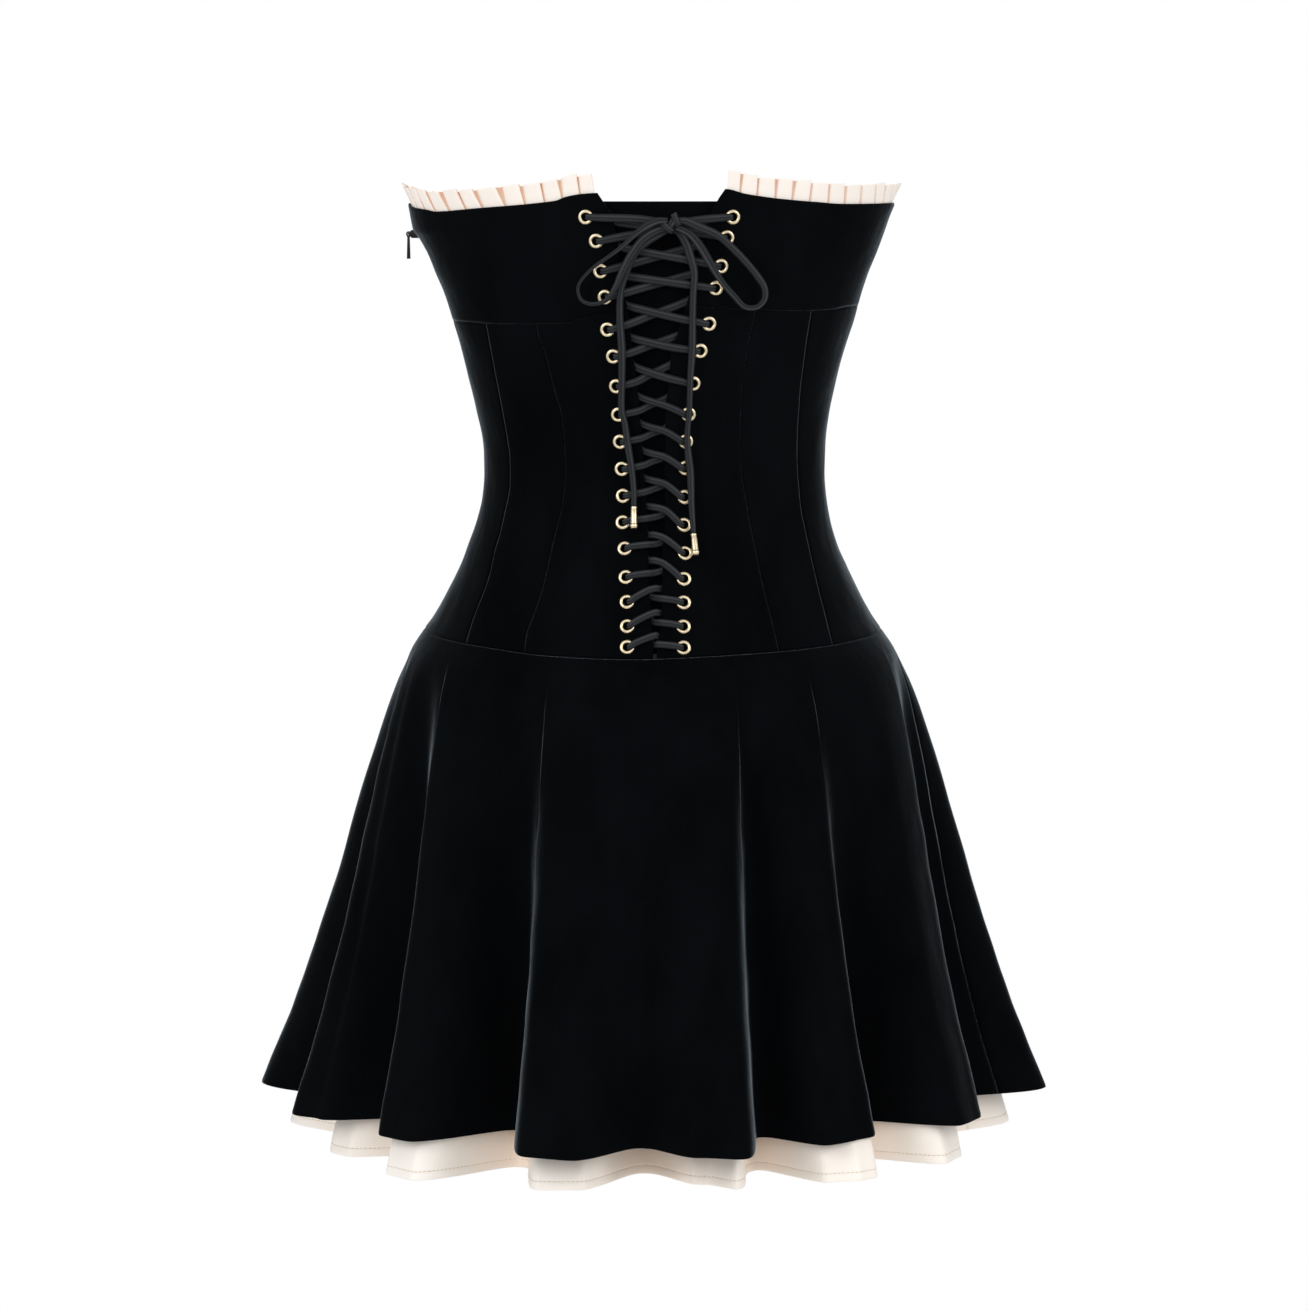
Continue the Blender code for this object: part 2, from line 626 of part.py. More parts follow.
def ruffle_surface(turn, share):
    """The strip at a turn counted from the right notch and a share of its height."""
    angle = np.where(turn > 180, turn - 360, turn)
    edge = smooth(TOP_EDGE, 1, angle)
    z = edge - RUFFLE_TUCK + share * (RUFFLE_TUCK + RUFFLE_HEIGHT)
    base = body(angle, np.minimum(z, edge))
    ahead = unit(body(angle + 1, edge) - body(angle - 1, edge))
    away = np.stack([ahead[..., 1], -ahead[..., 0], 0 * z], axis=-1)
    place = (turn - RUFFLE_START) / (RUFFLE_END - RUFFLE_START) * PLEATS
    phase = place - np.floor(place + 1e-9)
    fold = np.where(phase < 0.68, phase / 0.68, (1 - phase) / 0.32)
    above = np.clip(z - edge, 0, None)
    in_front = np.clip((np.abs(angle) - 80) / 30, 0, 1)
    out = -2.2 - 1.5 * in_front - PLEAT_DEPTH + PLEAT_DEPTH * fold + RUFFLE_LEAN * above
    point = base + out[..., None] * away
    point[..., 2] = z
    return point


def ruffle():
    turns = []
    for k in range(PLEATS):
        for share in (0.0, 0.68):
            turns.append(RUFFLE_START + (k + share) / PLEATS * (RUFFLE_END - RUFFLE_START))
    turns.append(RUFFLE_END)
    turn, share = np.meshgrid(np.array(turns), np.array(RUFFLE_ROWS))
    outer = ruffle_surface(turn, share)
    inner = outer - 1.2 * SATIN * unit(outer * [1, 1, 0])
    shell("ruffle", outer, inner, pleated)


ruffle()


def skirt_place(turn, share):
    """The point of the velvet skirt at an angle round the hem and a share of its drop."""
    start = smooth(FOLD_SPREAD, 1, turn)
    seam_z = drop_seam(start) - SEAM_GAP
    seam = body(start, seam_z)
    flare = smooth(FLARE, 1, share)[..., None]
    around = np.radians(turn)
    away = np.stack([np.sin(around), -np.cos(around), 0 * around], axis=-1)
    depth = RIDGE_RADIUS - waves(VELVET_FOLDS, turn)
    grown = np.clip((share - FOLDS_START) / (1 - FOLDS_START), 0, None) ** FOLDS_GROW
    point = seam * (1 - flare) + RIDGE_RADIUS * away * flare
    point = point - (depth * grown)[..., None] * unit(point * [1, 1, 0])
    point[..., 2] = seam_z + share * (HEM_Z - seam_z)
    return point


NEST = 2.9
UNDER_LAST = 1 + (HEM_Z - UNDER_HEM_Z) / 322.0


def under_place(turn, share):
    """The point of the satin underskirt, inside the velvet and longer."""
    last = np.full_like(turn, UNDER_LAST)
    reach = np.linalg.norm(raised(skirt_place, turn, last, NEST)[..., :2], axis=-1)
    lag = np.clip(reach - waves(SATIN_FOLDS, turn), 0.5, None)
    grown = np.clip((share - FOLDS_START) / (last - FOLDS_START), 0, None) ** FOLDS_GROW
    point = raised(skirt_place, turn, share, NEST)
    height = skirt_place(turn, share)[..., 2]
    point = point - (lag * grown)[..., None] * unit(point * [1, 1, 0])
    point[..., 2] = height - 0.5
    return point


def skirt_columns(first, last, each):
    """Angles that follow the folds, with fewer on the short flat slopes."""
    marks = column(VELVET_FOLDS, 0)
    marks = np.unique(np.concatenate([marks - 360, marks, marks + 360]))
    marks = marks[(marks > first + 2) & (marks < last - 2)]
    marks = np.concatenate([[first], marks, [last]])
    angles = []
    for low, high in zip(marks[:-1], marks[1:]):
        count = each if high - low > 6.2 else 2
        angles.extend(np.linspace(low, high, count + 1)[:-1])
    return np.array(angles + [last])


def wrapped(turn):
    return (turn + 180) % 360 - 180


def skirt(name, place, first, last, each, rows, wall, made_of):
    reach = np.degrees(0.5 * SEAM_GAP / 150)
    angles = skirt_columns(first, last, each)
    angles[0] += reach
    angles[-1] -= reach
    turn, share = np.meshgrid(angles, np.array(rows, float))

    def surface(a, s):
        return place(wrapped(a), s)

    outer = surface(turn, share)
    inner = raised(surface, turn, share, wall, step=0.2)
    inner[..., 2] = outer[..., 2]
    shell(name, outer[::-1], inner[::-1], made_of)


SIDE_LEFT = -74.0
SIDE_RIGHT = 77.0
UNDER_ROWS = SKIRT_ROWS[:-1] + [UNDER_LAST]
skirt("skirt_back", skirt_place, SIDE_LEFT, SIDE_RIGHT, BACK_COLUMNS, SKIRT_ROWS, VELVET, velvet)
skirt("skirt_front", skirt_place, SIDE_RIGHT, SIDE_LEFT + 360, FRONT_COLUMNS, SKIRT_ROWS, VELVET, velvet)
skirt("underskirt_back", under_place, SIDE_LEFT, SIDE_RIGHT, BACK_COLUMNS, UNDER_ROWS, SATIN, satin)
skirt("underskirt_front", under_place, SIDE_RIGHT, SIDE_LEFT + 360, FRONT_COLUMNS, UNDER_ROWS, SATIN, satin)

# Zip slider at the top of the left side seam: a tapered plate whose outer edge is a cross bar
BAR = (-173.8, 0.0, 174.4)
SLIDER_OUTER = [(-168.5, -3.0), (-168.5, 3.0), (-174.4, 2.6), (-174.4, -2.6)]
SLIDER_INNER = [(-171.7, -1.6), (-171.7, 1.6), (-173.2, 1.6), (-173.2, -1.6)]
PLATE_Z = [(171.4, 177.2), (171.4, 177.2), (173.8, 175.0), (173.8, 175.0)]
PLATE_LEAN = 0.58

# Pull: an eye round the bar and a slim tab below it
PULL_OUTER = [
    (1.85, 0), (1.5, 1.1), (0.5, 1.8), (-0.5, 1.8), (-1.5, 1.1), (-1.85, 0), (-1.5, -1.1),
    (-0.9, -2.6), (-1.3, -17.6), (1.3, -17.6), (0.9, -2.6), (1.5, -1.1),
]
PULL_HOLE = 0.95
PULL_HOLE_ANGLES = [0, 35, 72, 108, 145, 180, 215, 245, 262, 278, 295, 325]
PULL_HALF = 0.7


def ring_plate(name, low_outer, high_outer, high_inner, low_inner, made_of, origin=(0, 0, 0)):
    """A closed band between an outer and an inner outline, each given low and high."""
    count = len(low_outer)
    points = np.concatenate([low_outer, high_outer, high_inner, low_inner])
    faces = []
    for k in range(count):
        n = (k + 1) % count
        for j in range(4):
            a = j * count
            b = (j + 1) % 4 * count
            faces.append((a + k, a + n, b + n, b + k))
    return node(name, points, faces, made_of, origin)


def slider_points(outline, level):
    points = []
    for (x, y), heights in zip(outline, PLATE_Z):
        z = heights[level]
        lean = PLATE_LEAN * (z - BAR[2]) if x > -170 else 0.0
        points.append((x - lean, y, z))
    return np.array(points)


ring_plate(
    "zip_slider",
    slider_points(SLIDER_OUTER, 0),
    slider_points(SLIDER_OUTER, 1),
    slider_points(SLIDER_INNER, 1),
    slider_points(SLIDER_INNER, 0),
    dark_metal,
)

eye_turns = np.radians(PULL_HOLE_ANGLES)
pull_outline = np.array([(x, z) for x, z in PULL_OUTER])
pull_hole = PULL_HOLE * np.stack([np.cos(eye_turns), np.sin(eye_turns)], axis=1)


def pull_points(outline, y):
    return np.column_stack([BAR[0] + outline[:, 0], np.full(len(outline), y), BAR[2] + outline[:, 1]])


ring_plate(
    "zip_pull",
    pull_points(pull_outline, PULL_HALF),
    pull_points(pull_outline, -PULL_HALF),
    pull_points(pull_hole, -PULL_HALF),
    pull_points(pull_hole, PULL_HALF),
    dark_metal,
    BAR,
)
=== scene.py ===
import bpy
import numpy as np
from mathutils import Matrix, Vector


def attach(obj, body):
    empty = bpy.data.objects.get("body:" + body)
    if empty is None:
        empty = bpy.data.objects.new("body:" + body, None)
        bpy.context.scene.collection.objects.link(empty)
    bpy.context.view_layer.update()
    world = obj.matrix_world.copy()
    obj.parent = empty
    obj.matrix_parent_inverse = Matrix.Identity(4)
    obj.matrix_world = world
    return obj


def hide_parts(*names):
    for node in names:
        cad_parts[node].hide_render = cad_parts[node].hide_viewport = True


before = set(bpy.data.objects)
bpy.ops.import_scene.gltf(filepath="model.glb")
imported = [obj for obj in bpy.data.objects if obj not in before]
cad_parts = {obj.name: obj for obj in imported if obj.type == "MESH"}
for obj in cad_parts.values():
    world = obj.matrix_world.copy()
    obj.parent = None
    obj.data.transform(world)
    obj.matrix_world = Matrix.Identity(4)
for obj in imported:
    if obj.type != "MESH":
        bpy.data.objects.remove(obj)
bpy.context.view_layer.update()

MM = 0.001
SEAM_GAP = 0.3
HEM_Z = -432.0
UNDER_HEM_Z = -458.0
RIDGE_RADIUS = 279.0

# Camera at the height of the shoulder blades, looking a little down
CAMERA_PLACE = (0.0, -2.9, 0.15)
CAMERA_AIM = (0.0, 0.0, -0.12518)
CAMERA_LENS = 111.96
CAMERA_SENSOR = 36.0


def add_camera():
    data = bpy.data.cameras.new("camera")
    data.lens = CAMERA_LENS
    data.sensor_width = CAMERA_SENSOR
    data.clip_end = 50.0
    eye = bpy.data.objects.new("camera", data)
    eye.location = CAMERA_PLACE
    ahead = Vector(CAMERA_AIM) - Vector(CAMERA_PLACE)
    eye.rotation_euler = ahead.to_track_quat("-Z", "Y").to_euler()
    bpy.context.scene.collection.objects.link(eye)
    bpy.context.scene.camera = eye


add_camera()

# Body sections: height, half width on the left, half width on the right, depth back, depth front
SECTIONS = [
    (-122, 173.0, 172.0, 129.5, 117.5),
    (-108, 165.4, 163.6, 124.5, 114.4),
    (-96, 156.8, 155.4, 119.5, 111.5),
    (-79, 147.4, 146.2, 112.5, 107.0),
    (-60, 137.8, 137.0, 105.0, 102.4),
    (-46, 132.6, 130.9, 99.0, 99.0),
    (-27, 125.8, 125.2, 90.8, 94.8),
    (-10, 121.9, 122.6, 86.0, 91.0),
    (5, 120.7, 121.5, 84.5, 89.5),
    (23, 121.4, 121.8, 85.0, 90.0),
    (50, 126.2, 124.9, 88.0, 94.0),
    (69, 130.7, 128.9, 91.0, 99.0),
    (95, 137.2, 135.8, 95.0, 108.0),
    (112, 142.3, 141.4, 97.0, 112.0),
    (132, 148.4, 146.9, 99.0, 114.0),
    (145, 154.0, 151.2, 100.0, 114.0),
    (161, 160.4, 157.6, 101.0, 112.0),
    (172, 166.6, 161.6, 102.0, 109.2),
    (176, 170.0, 163.0, 102.1, 108.0),
    (185, 172.1, 166.2, 102.5, 105.0),
    (197, 174.5, 171.0, 103.0, 101.0),
    (215, 181.0, 178.0, 104.0, 99.0),
]

# Top edge of the velvet: angle, height
TOP_EDGE = [
    (-180, 178), (-140, 185), (-110, 192), (-90, 196), (-80, 193), (-67, 190.6),
    (-61.8, 189.3), (-43.8, 191.5), (-23, 196), (-20.4, 198.6), (-16.6, 200.6),
    (-12.9, 201.3), (16.3, 204), (21.6, 200.7), (30.8, 197.4), (41, 195.5),
    (50, 194.3), (66, 194.7), (78, 195.4), (90, 196), (110, 192), (140, 185),
    (180, 178),
]

# Seam under the upper back band: angle, height
BAND_SEAM = [
    (-90, 113), (-67, 112.6), (-49, 111.6), (-25.7, 112.4), (-15.3, 119.5), (-7, 121),
    (7, 124.5), (13.3, 123.7), (21.5, 122.9), (33.4, 121.5), (47.8, 120.6), (59, 121.2),
    (70, 123), (90, 124),
]

# Drop-waist seam: angle, height
DROP_SEAM = [
    (-180, -110), (-135, -108), (-90, -105.5), (-79, -105.8), (-61, -108.3), (-41.5, -111.4),
    (-27, -114.4), (-5.6, -115.9), (7, -114.8), (20.7, -113.3), (40.5, -111.2), (60.4, -108.3),
    (75, -106.5), (90, -105.5), (135, -108), (180, -110),
]

# Lacing edges of the back opening: height, x of the left edge, x of the right edge
OPENING = [
    (-118, -0.6, 1.6), (-108, -0.7, 2.4), (-90, -1.7, 5.1), (-60, -3.8, 5.8), (-38, -4.2, 6.4),
    (-24, -4.6, 7.6), (4, -6.6, 7.4), (52, -10, 8), (70, -11.7, 10), (94, -14.7, 12.2),
    (111, -16.8, 18.2), (187, -29, 39.3), (196, -35.2, 43.4), (204, -40.5, 48.8),
]

# Princess seams: height, then x on the left and on the right
INNER_SEAMS = [
    (-118, -90.5, 87), (-100, -88, 83.8), (-89, -84, 81), (-73, -78.5, 77), (-58, -74.6, 73.6),
    (-42, -71, 70.6), (-26, -67, 67), (-10, -63.6, 64.2), (5, -62, 61.5), (23, -62.1, 60.1),
    (47, -64.2, 60.4), (61, -68, 60.6), (77, -72.2, 62), (93, -76.2, 64.5), (104, -80.4, 66.6),
    (125, -82.4, 71),
]
OUTER_SEAMS = [
    (-118, -133.5, 127), (-106, -130.6, 123.8), (-89, -125.2, 119.8), (-76, -119.9, 116.2),
    (-63, -115.8, 113.2), (-46, -112, 109.5), (-33, -108.2, 106.8), (-17, -104.6, 103.7),
    (0, -101.6, 102), (18, -101.8, 101), (31, -103.3, 101), (54, -107.3, 102), (68, -110, 103),
    (94, -114.6, 106), (125, -120, 110.5),
]

# Eyelets from the top down: x and height on the left, x and height on the right
EYELETS = [
    (-46.8, 185.0, 54.0, 185.0), (-39.6, 168.7, 50.0, 171.0), (-36.6, 148.2, 45.9, 151.6),
    (-33.6, 130.5, 42.4, 136.6), (-32.0, 108.2, 37.8, 112.2), (-28.0, 89.8, 31.8, 93.6),
    (-26.0, 69.2, 27.0, 71.1), (-24.6, 49.6, 23.8, 49.8), (-23.4, 30.8, 22.0, 31.0),
    (-22.2, 12.0, 21.8, 12.6), (-21.4, -6.6, 21.2, -7.4), (-21.6, -24.6, 20.8, -26.4),
    (-20.2, -42.2, 21.4, -45.4), (-19.4, -61.4, 20.6, -62.6), (-18.6, -78.0, 20.4, -78.4),
    (-18.4, -94.2, 20.2, -94.4), (-18.4, -108.0, 20.2, -108.4),
]

# Where each skirt fold leaves the seam: angle at the hem, angle at the seam
FOLD_SPREAD = [
    (-180, -180), (-135, -141), (-90, -103), (-74, -90), (-64, -81), (-44, -55.5),
    (-22, -23.7), (0, -2), (17, 19.2), (38, 36), (59, 72), (77, 90), (90, 101), (135, 140),
    (180, 180),
]

# Folds round the velvet hem: angle, radius at each ridge and valley in turn
VELVET_FOLDS = [
    (-189, 232), (-175, 268), (-160, 230), (-146, 268), (-131, 228), (-117, 272), (-102, 238),
    (-88, 283), (-72.5, 238), (-63, 280), (-58.5, 271), (-50.5, 226), (-43, 270), (-38, 271),
    (-27.5, 202), (-18, 276), (-11.5, 279), (-2, 236), (6.5, 267), (12.5, 276), (19.5, 214),
    (27.5, 255), (36, 249), (43.5, 208), (52.5, 266), (58, 264), (70, 220), (84, 282),
    (101, 236), (116, 272), (130, 228), (144, 268), (158, 230), (171, 268), (185, 232),
]

# Folds round the satin hem: angle, radius at each ridge and valley in turn
SATIN_FOLDS = [
    (-190, 214), (-175, 252), (-160, 212), (-146, 252), (-131, 212), (-117, 254), (-102, 220),
    (-86, 262), (-72.5, 230), (-61, 257), (-57.5, 254), (-50.5, 218), (-43.5, 267), (-37.5, 270),
    (-27.5, 198), (-18, 258), (-12, 252), (-2, 196), (8, 232), (13.5, 250), (20.5, 198),
    (28, 252), (35.5, 260), (43.5, 206), (51, 258), (56.5, 254), (70, 214), (87, 256),
    (103, 220), (116, 254), (130, 212), (144, 252), (158, 212), (170, 252), (185, 214),
]

# Skirt profile from the seam to the hem: share of the drop, share of the flare
FLARE = [
    (0, 0), (0.04, 0.08), (0.09, 0.153), (0.123, 0.195), (0.27, 0.335), (0.4, 0.44),
    (0.566, 0.57), (0.705, 0.692), (0.831, 0.811), (0.94, 0.93), (1, 1), (1.1, 1.11),
]
FOLDS_START = 0.05
FOLDS_GROW = 0.88


def column(table, index):
    return np.array([row[index] for row in table], float)


def smooth(table, index, at):
    """A curve through one column of a table, against its first column, that never overshoots."""
    xs = column(table, 0)
    ys = column(table, index)
    at = np.clip(np.asarray(at, float), xs[0], xs[-1])
    step = np.diff(xs)
    slope = np.diff(ys) / step
    same_way = slope[:-1] * slope[1:] > 0
    total = np.where(same_way, slope[:-1] + slope[1:], 1.0)
    inner = np.where(same_way, 2 * slope[:-1] * slope[1:] / total, 0.0)
    lean = np.concatenate([[slope[0]], inner, [slope[-1]]])
    i = np.clip(np.searchsorted(xs, at) - 1, 0, len(step) - 1)
    t = (at - xs[i]) / step[i]
    rise = ys[i] * (1 - 3 * t**2 + 2 * t**3) + ys[i + 1] * (3 * t**2 - 2 * t**3)
    return rise + step[i] * (lean[i] * (t - 2 * t**2 + t**3) + lean[i + 1] * (t**3 - t**2))


def waves(table, at):
    """A wave with its ridges and valleys at the rows of a table."""
    xs = column(table, 0)
    ys = column(table, 1)
    i = np.clip(np.searchsorted(xs, at) - 1, 0, len(xs) - 2)
    t = (at - xs[i]) / (xs[i + 1] - xs[i])
    return ys[i] + (ys[i + 1] - ys[i]) * (0.5 - 0.5 * np.cos(np.pi * t))


def unit(vectors):
    return vectors / np.linalg.norm(vectors, axis=-1, keepdims=True)


def half_width(side, z):
    """Half the body's width at a height, on the left where side is negative."""
    return np.where(np.asarray(side) < 0, smooth(SECTIONS, 1, z), smooth(SECTIONS, 2, z))


def body(angle, z):
    """The outside of the worn bodice at an angle and a height."""
    turn = np.radians(angle)
    back = smooth(SECTIONS, 3, z)
    front = smooth(SECTIONS, 4, z)
    x = half_width(np.sin(turn), z) * np.sin(turn)
    y = -np.where(np.cos(turn) > 0, back, front) * np.cos(turn)
    bust = np.exp(-(((np.abs(x) - 66) / 40) ** 2) - ((z - 138) / 42) ** 2)
    y = y + np.where(np.cos(turn) < 0, 15 * bust * np.cos(turn) ** 2, 0)
    return np.stack([x, y, z + 0 * x], axis=-1)


def raised(surface, first, second, out, step=0.5):
    """Points of a surface moved out along its normal."""
    along = surface(first + step, second) - surface(first - step, second)
    lift = step if surface is body else 0.01
    across = surface(first, second + lift) - surface(first, second - lift)
    normal = unit(np.cross(along, across))
    return surface(first, second) + np.asarray(out)[..., None] * normal


def back_angle(x, z):
    return np.degrees(np.arcsin(np.clip(x / half_width(x, z), -1, 1)))


def on_back(x, z, out):
    """A point over the back at a distance out from the bodice."""
    x = np.asarray(x, float)
    z = np.asarray(z, float)
    return raised(body, back_angle(x, z), z, out)


def seam_curve(table, shift=0.0):
    return lambda angle: smooth(table, 1, angle) + shift


def edge_curve(table, index):
    return lambda z: back_angle(smooth(table, index, z), z)


def fixed_edge(angle):
    return lambda z: np.full_like(z, float(angle))


def frame_at(center, axis, points):
    """Points given across and along an axis, placed at a centre."""
    axis = unit(np.asarray(axis, float))
    side = unit(np.cross([0, 0, 1.0] if abs(axis[2]) < 0.9 else [1.0, 0, 0], axis))
    other = np.cross(axis, side)
    return center + points @ np.array([side, other, axis])


HOLE_RADIUS = 3.0
BAND_EYELETS = 4


# Looks
def new_look(name, color, roughness, metallic=0.0):
    look = bpy.data.materials.new(name)
    look.use_nodes = True
    shader = look.node_tree.nodes["Principled BSDF"]
    shader.inputs["Base Color"].default_value = (*color, 1)
    shader.inputs["Roughness"].default_value = roughness
    shader.inputs["Metallic"].default_value = metallic
    return look, shader


def add_node(look, kind, inputs=None, **settings):
    made = look.node_tree.nodes.new(kind)
    for key, value in settings.items():
        setattr(made, key, value)
    for key, value in (inputs or {}).items():
        made.inputs[key].default_value = value
    return made


def link(look, source, target):
    look.node_tree.links.new(source, target)


def noise(look, scale, detail=2.0, stretch=(1.0, 1.0, 1.0), rough=0.5):
    """Noise fixed to the object, finer where scale is larger."""
    place = add_node(look, "ShaderNodeTexCoord")
    mapping = add_node(look, "ShaderNodeMapping", {"Scale": stretch})
    made = add_node(look, "ShaderNodeTexNoise", {"Scale": scale, "Detail": detail, "Roughness": rough})
    link(look, place.outputs["Object"], mapping.inputs["Vector"])
    link(look, mapping.outputs["Vector"], made.inputs["Vector"])
    return made.outputs["Fac"]


def bump(look, height, distance, strength=1.0, after=None):
    made = add_node(look, "ShaderNodeBump", {"Strength": strength, "Distance": distance})
    link(look, height, made.inputs["Height"])
    if after is not None:
        link(look, after, made.inputs["Normal"])
    return made.outputs["Normal"]


def blend_colors(look, share, low, high):
    """A colour between two others by a share from 0 to 1."""
    ramp = add_node(look, "ShaderNodeValToRGB")
    ramp.color_ramp.elements[0].position = 0.3
    ramp.color_ramp.elements[0].color = (*low, 1)
    ramp.color_ramp.elements[1].position = 0.7
    ramp.color_ramp.elements[1].color = (*high, 1)
    link(look, share, ramp.inputs["Fac"])
    return ramp.outputs["Color"]


def spread(look, share, low, high):
    """A number between two others by a share from 0 to 1."""
    made = add_node(look, "ShaderNodeMapRange", {"To Min": low, "To Max": high})
    link(look, share, made.inputs["Value"])
    return made.outputs["Result"]


def velvet_look():
    look, shader = new_look("velvet_pile", (0.004, 0.0045, 0.0055), 0.9)
    shader.inputs["Specular IOR Level"].default_value = 0.02
    shader.inputs["Sheen Weight"].default_value = 0.5
    shader.inputs["Sheen Roughness"].default_value = 0.24
    shader.inputs["Sheen Tint"].default_value = (0.6, 0.7, 0.78, 1)
    nap = noise(look, 16.0, 4.0, (1.0, 1.0, 0.4), 0.6)
    color = blend_colors(look, nap, (0.0009, 0.0011, 0.0015), (0.0026, 0.0031, 0.004))
    link(look, color, shader.inputs["Base Color"])
    link(look, spread(look, nap, 0.8, 0.98), shader.inputs["Roughness"])
    strokes = noise(look, 9.0, 5.0, (1.0, 1.0, 0.3), 0.7)
    link(look, spread(look, strokes, 0.2, 1.15), shader.inputs["Sheen Weight"])
    brushed = bump(look, noise(look, 70.0, 3.0, (1.0, 1.0, 0.3)), 0.0012, 0.45)
    tufts = bump(look, noise(look, 900.0, 2.0), 0.0003, 0.5, brushed)
    pile = bump(look, noise(look, 3200.0, 1.0), 0.00012, 0.6, tufts)
    link(look, pile, shader.inputs["Normal"])
    return look


def backing_look():
    look, shader = new_look("velvet_backing", (0.008, 0.0085, 0.01), 0.8)
    shader.inputs["Specular IOR Level"].default_value = 0.2
    weave = noise(look, 1500.0, 2.0)
    link(look, blend_colors(look, weave, (0.006, 0.0065, 0.008), (0.012, 0.0125, 0.014)), shader.inputs["Base Color"])
    link(look, bump(look, weave, 0.0001, 0.6), shader.inputs["Normal"])
    return look


def satin_look(name, light, shadow, gloss):
    """Cream satin with a painted peach shade inside its folds, mixed in by an attribute of the mesh."""
    look, shader = new_look(name, light, gloss)
    shader.inputs["Specular IOR Level"].default_value = 0.35
    shader.inputs["Sheen Weight"].default_value = 0.12
    shader.inputs["Sheen Roughness"].default_value = 0.4
    # Painted shade: an attribute of the mesh mixes the cream towards the peach shadow colour in folds and slits.
    painted_light = add_node(look, "ShaderNodeAttribute", attribute_name="painted_light")
    slub = noise(look, 26.0, 3.0, (1.0, 1.0, 0.35))
    mixed = add_node(look, "ShaderNodeMix", data_type="RGBA")
    link(look, painted_light.outputs["Fac"], mixed.inputs["Factor"])
    tone = blend_colors(look, slub, tuple(0.965 * c for c in light), light)
    link(look, tone, mixed.inputs[6])
    mixed.inputs[7].default_value = (*shadow, 1)
    link(look, mixed.outputs[2], shader.inputs["Base Color"])
    link(look, spread(look, slub, gloss - 0.06, gloss + 0.08), shader.inputs["Roughness"])
    soft = bump(look, noise(look, 34.0, 3.0, (1.0, 1.0, 0.45)), 0.0016, 0.35)
    thread = bump(look, noise(look, 2600.0, 1.0, (1.0, 1.0, 0.3)), 0.00006, 0.5, soft)
    link(look, thread, shader.inputs["Normal"])
    return look


def braid_look():
    """Charcoal braid whose plaits run both ways across the cord, by its own millimetre coordinates, with a painted
    highlight on its ridges and painted shade between them.
    """
    look, shader = new_look("braid_cord", (0.03, 0.034, 0.038), 0.62)
    shader.inputs["Specular IOR Level"].default_value = 0.22
    shader.inputs["Sheen Weight"].default_value = 0.06
    shader.inputs["Sheen Roughness"].default_value = 0.4
    shader.inputs["Sheen Tint"].default_value = (0.75, 0.82, 0.88, 1)
    place = add_node(look, "ShaderNodeTexCoord")
    plaits = []
    for turn in (0.6, -0.6):
        mapping = add_node(look, "ShaderNodeMapping", {"Rotation": (0, 0, turn)})
        wave = add_node(look, "ShaderNodeTexWave", {"Scale": 0.42, "Distortion": 0.3, "Detail": 1.0})
        link(look, place.outputs["UV"], mapping.inputs["Vector"])
        link(look, mapping.outputs["Vector"], wave.inputs["Vector"])
        plaits.append(wave.outputs["Fac"])
    both = add_node(look, "ShaderNodeMath", operation="MAXIMUM")
    link(look, plaits[0], both.inputs[0])
    link(look, plaits[1], both.inputs[1])
    plait = both.outputs["Value"]
    # Painted light: an attribute of the mesh picks the lighter colours on the ridges as a painted highlight and the
    # darker ones elsewhere as painted shade.
    ridge = add_node(look, "ShaderNodeAttribute", attribute_name="painted_light")
    mixed = add_node(look, "ShaderNodeMix", data_type="RGBA")
    link(look, ridge.outputs["Fac"], mixed.inputs["Factor"])
    link(look, blend_colors(look, plait, (0.0012, 0.0014, 0.0018), (0.0052, 0.006, 0.0072)), mixed.inputs[6])
    link(look, blend_colors(look, plait, (0.022, 0.025, 0.029), (0.052, 0.058, 0.066)), mixed.inputs[7])
    link(look, mixed.outputs[2], shader.inputs["Base Color"])
    link(look, bump(look, plait, 0.00022, 0.7), shader.inputs["Normal"])
    return look


def metal_look(name, color, roughness, scratch):
    look, shader = new_look(name, color, roughness, 1.0)
    wear = noise(look, 260.0, 3.0)
    dark = tuple(0.88 * c for c in color)
    link(look, blend_colors(look, wear, dark, color), shader.inputs["Base Color"])
    link(look, spread(look, wear, roughness - 0.06, roughness + 0.1), shader.inputs["Roughness"])
    link(look, bump(look, noise(look, 900.0, 2.0), scratch, 0.4), shader.inputs["Normal"])
    return look


def thread_look():
    look, shader = new_look("satin_thread", (0.74, 0.62, 0.48), 0.5)
    twist = noise(look, 3000.0, 1.0)
    link(look, blend_colors(look, twist, (0.62, 0.5, 0.38), (0.82, 0.7, 0.56)), shader.inputs["Base Color"])
    link(look, bump(look, twist, 0.0001, 0.5), shader.inputs["Normal"])
    return look


velvet = velvet_look()
backing = backing_look()
# The second colour of each satin is its painted shade in folds and slits.
satin = satin_look("cream_satin", (0.985, 0.945, 0.885), (0.9, 0.62, 0.42), 0.4)
pleated = satin_look("pleated_cream_satin", (0.98, 0.9, 0.83), (0.72, 0.37, 0.2), 0.5)
braid = braid_look()
gold = metal_look("pale_gold", (0.97, 0.82, 0.56), 0.3, 0.00003)
dark_metal = metal_look("black_metal", (0.03, 0.03, 0.033), 0.35, 0.00003)
thread = thread_look()


# Pieces
def finished(obj, slot, *nodes, body_name="dress"):
    """Links a piece to its body and hides the solids that it stands for; its finish is not used."""
    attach(obj, body_name)
    if nodes:
        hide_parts(*nodes)
    return obj


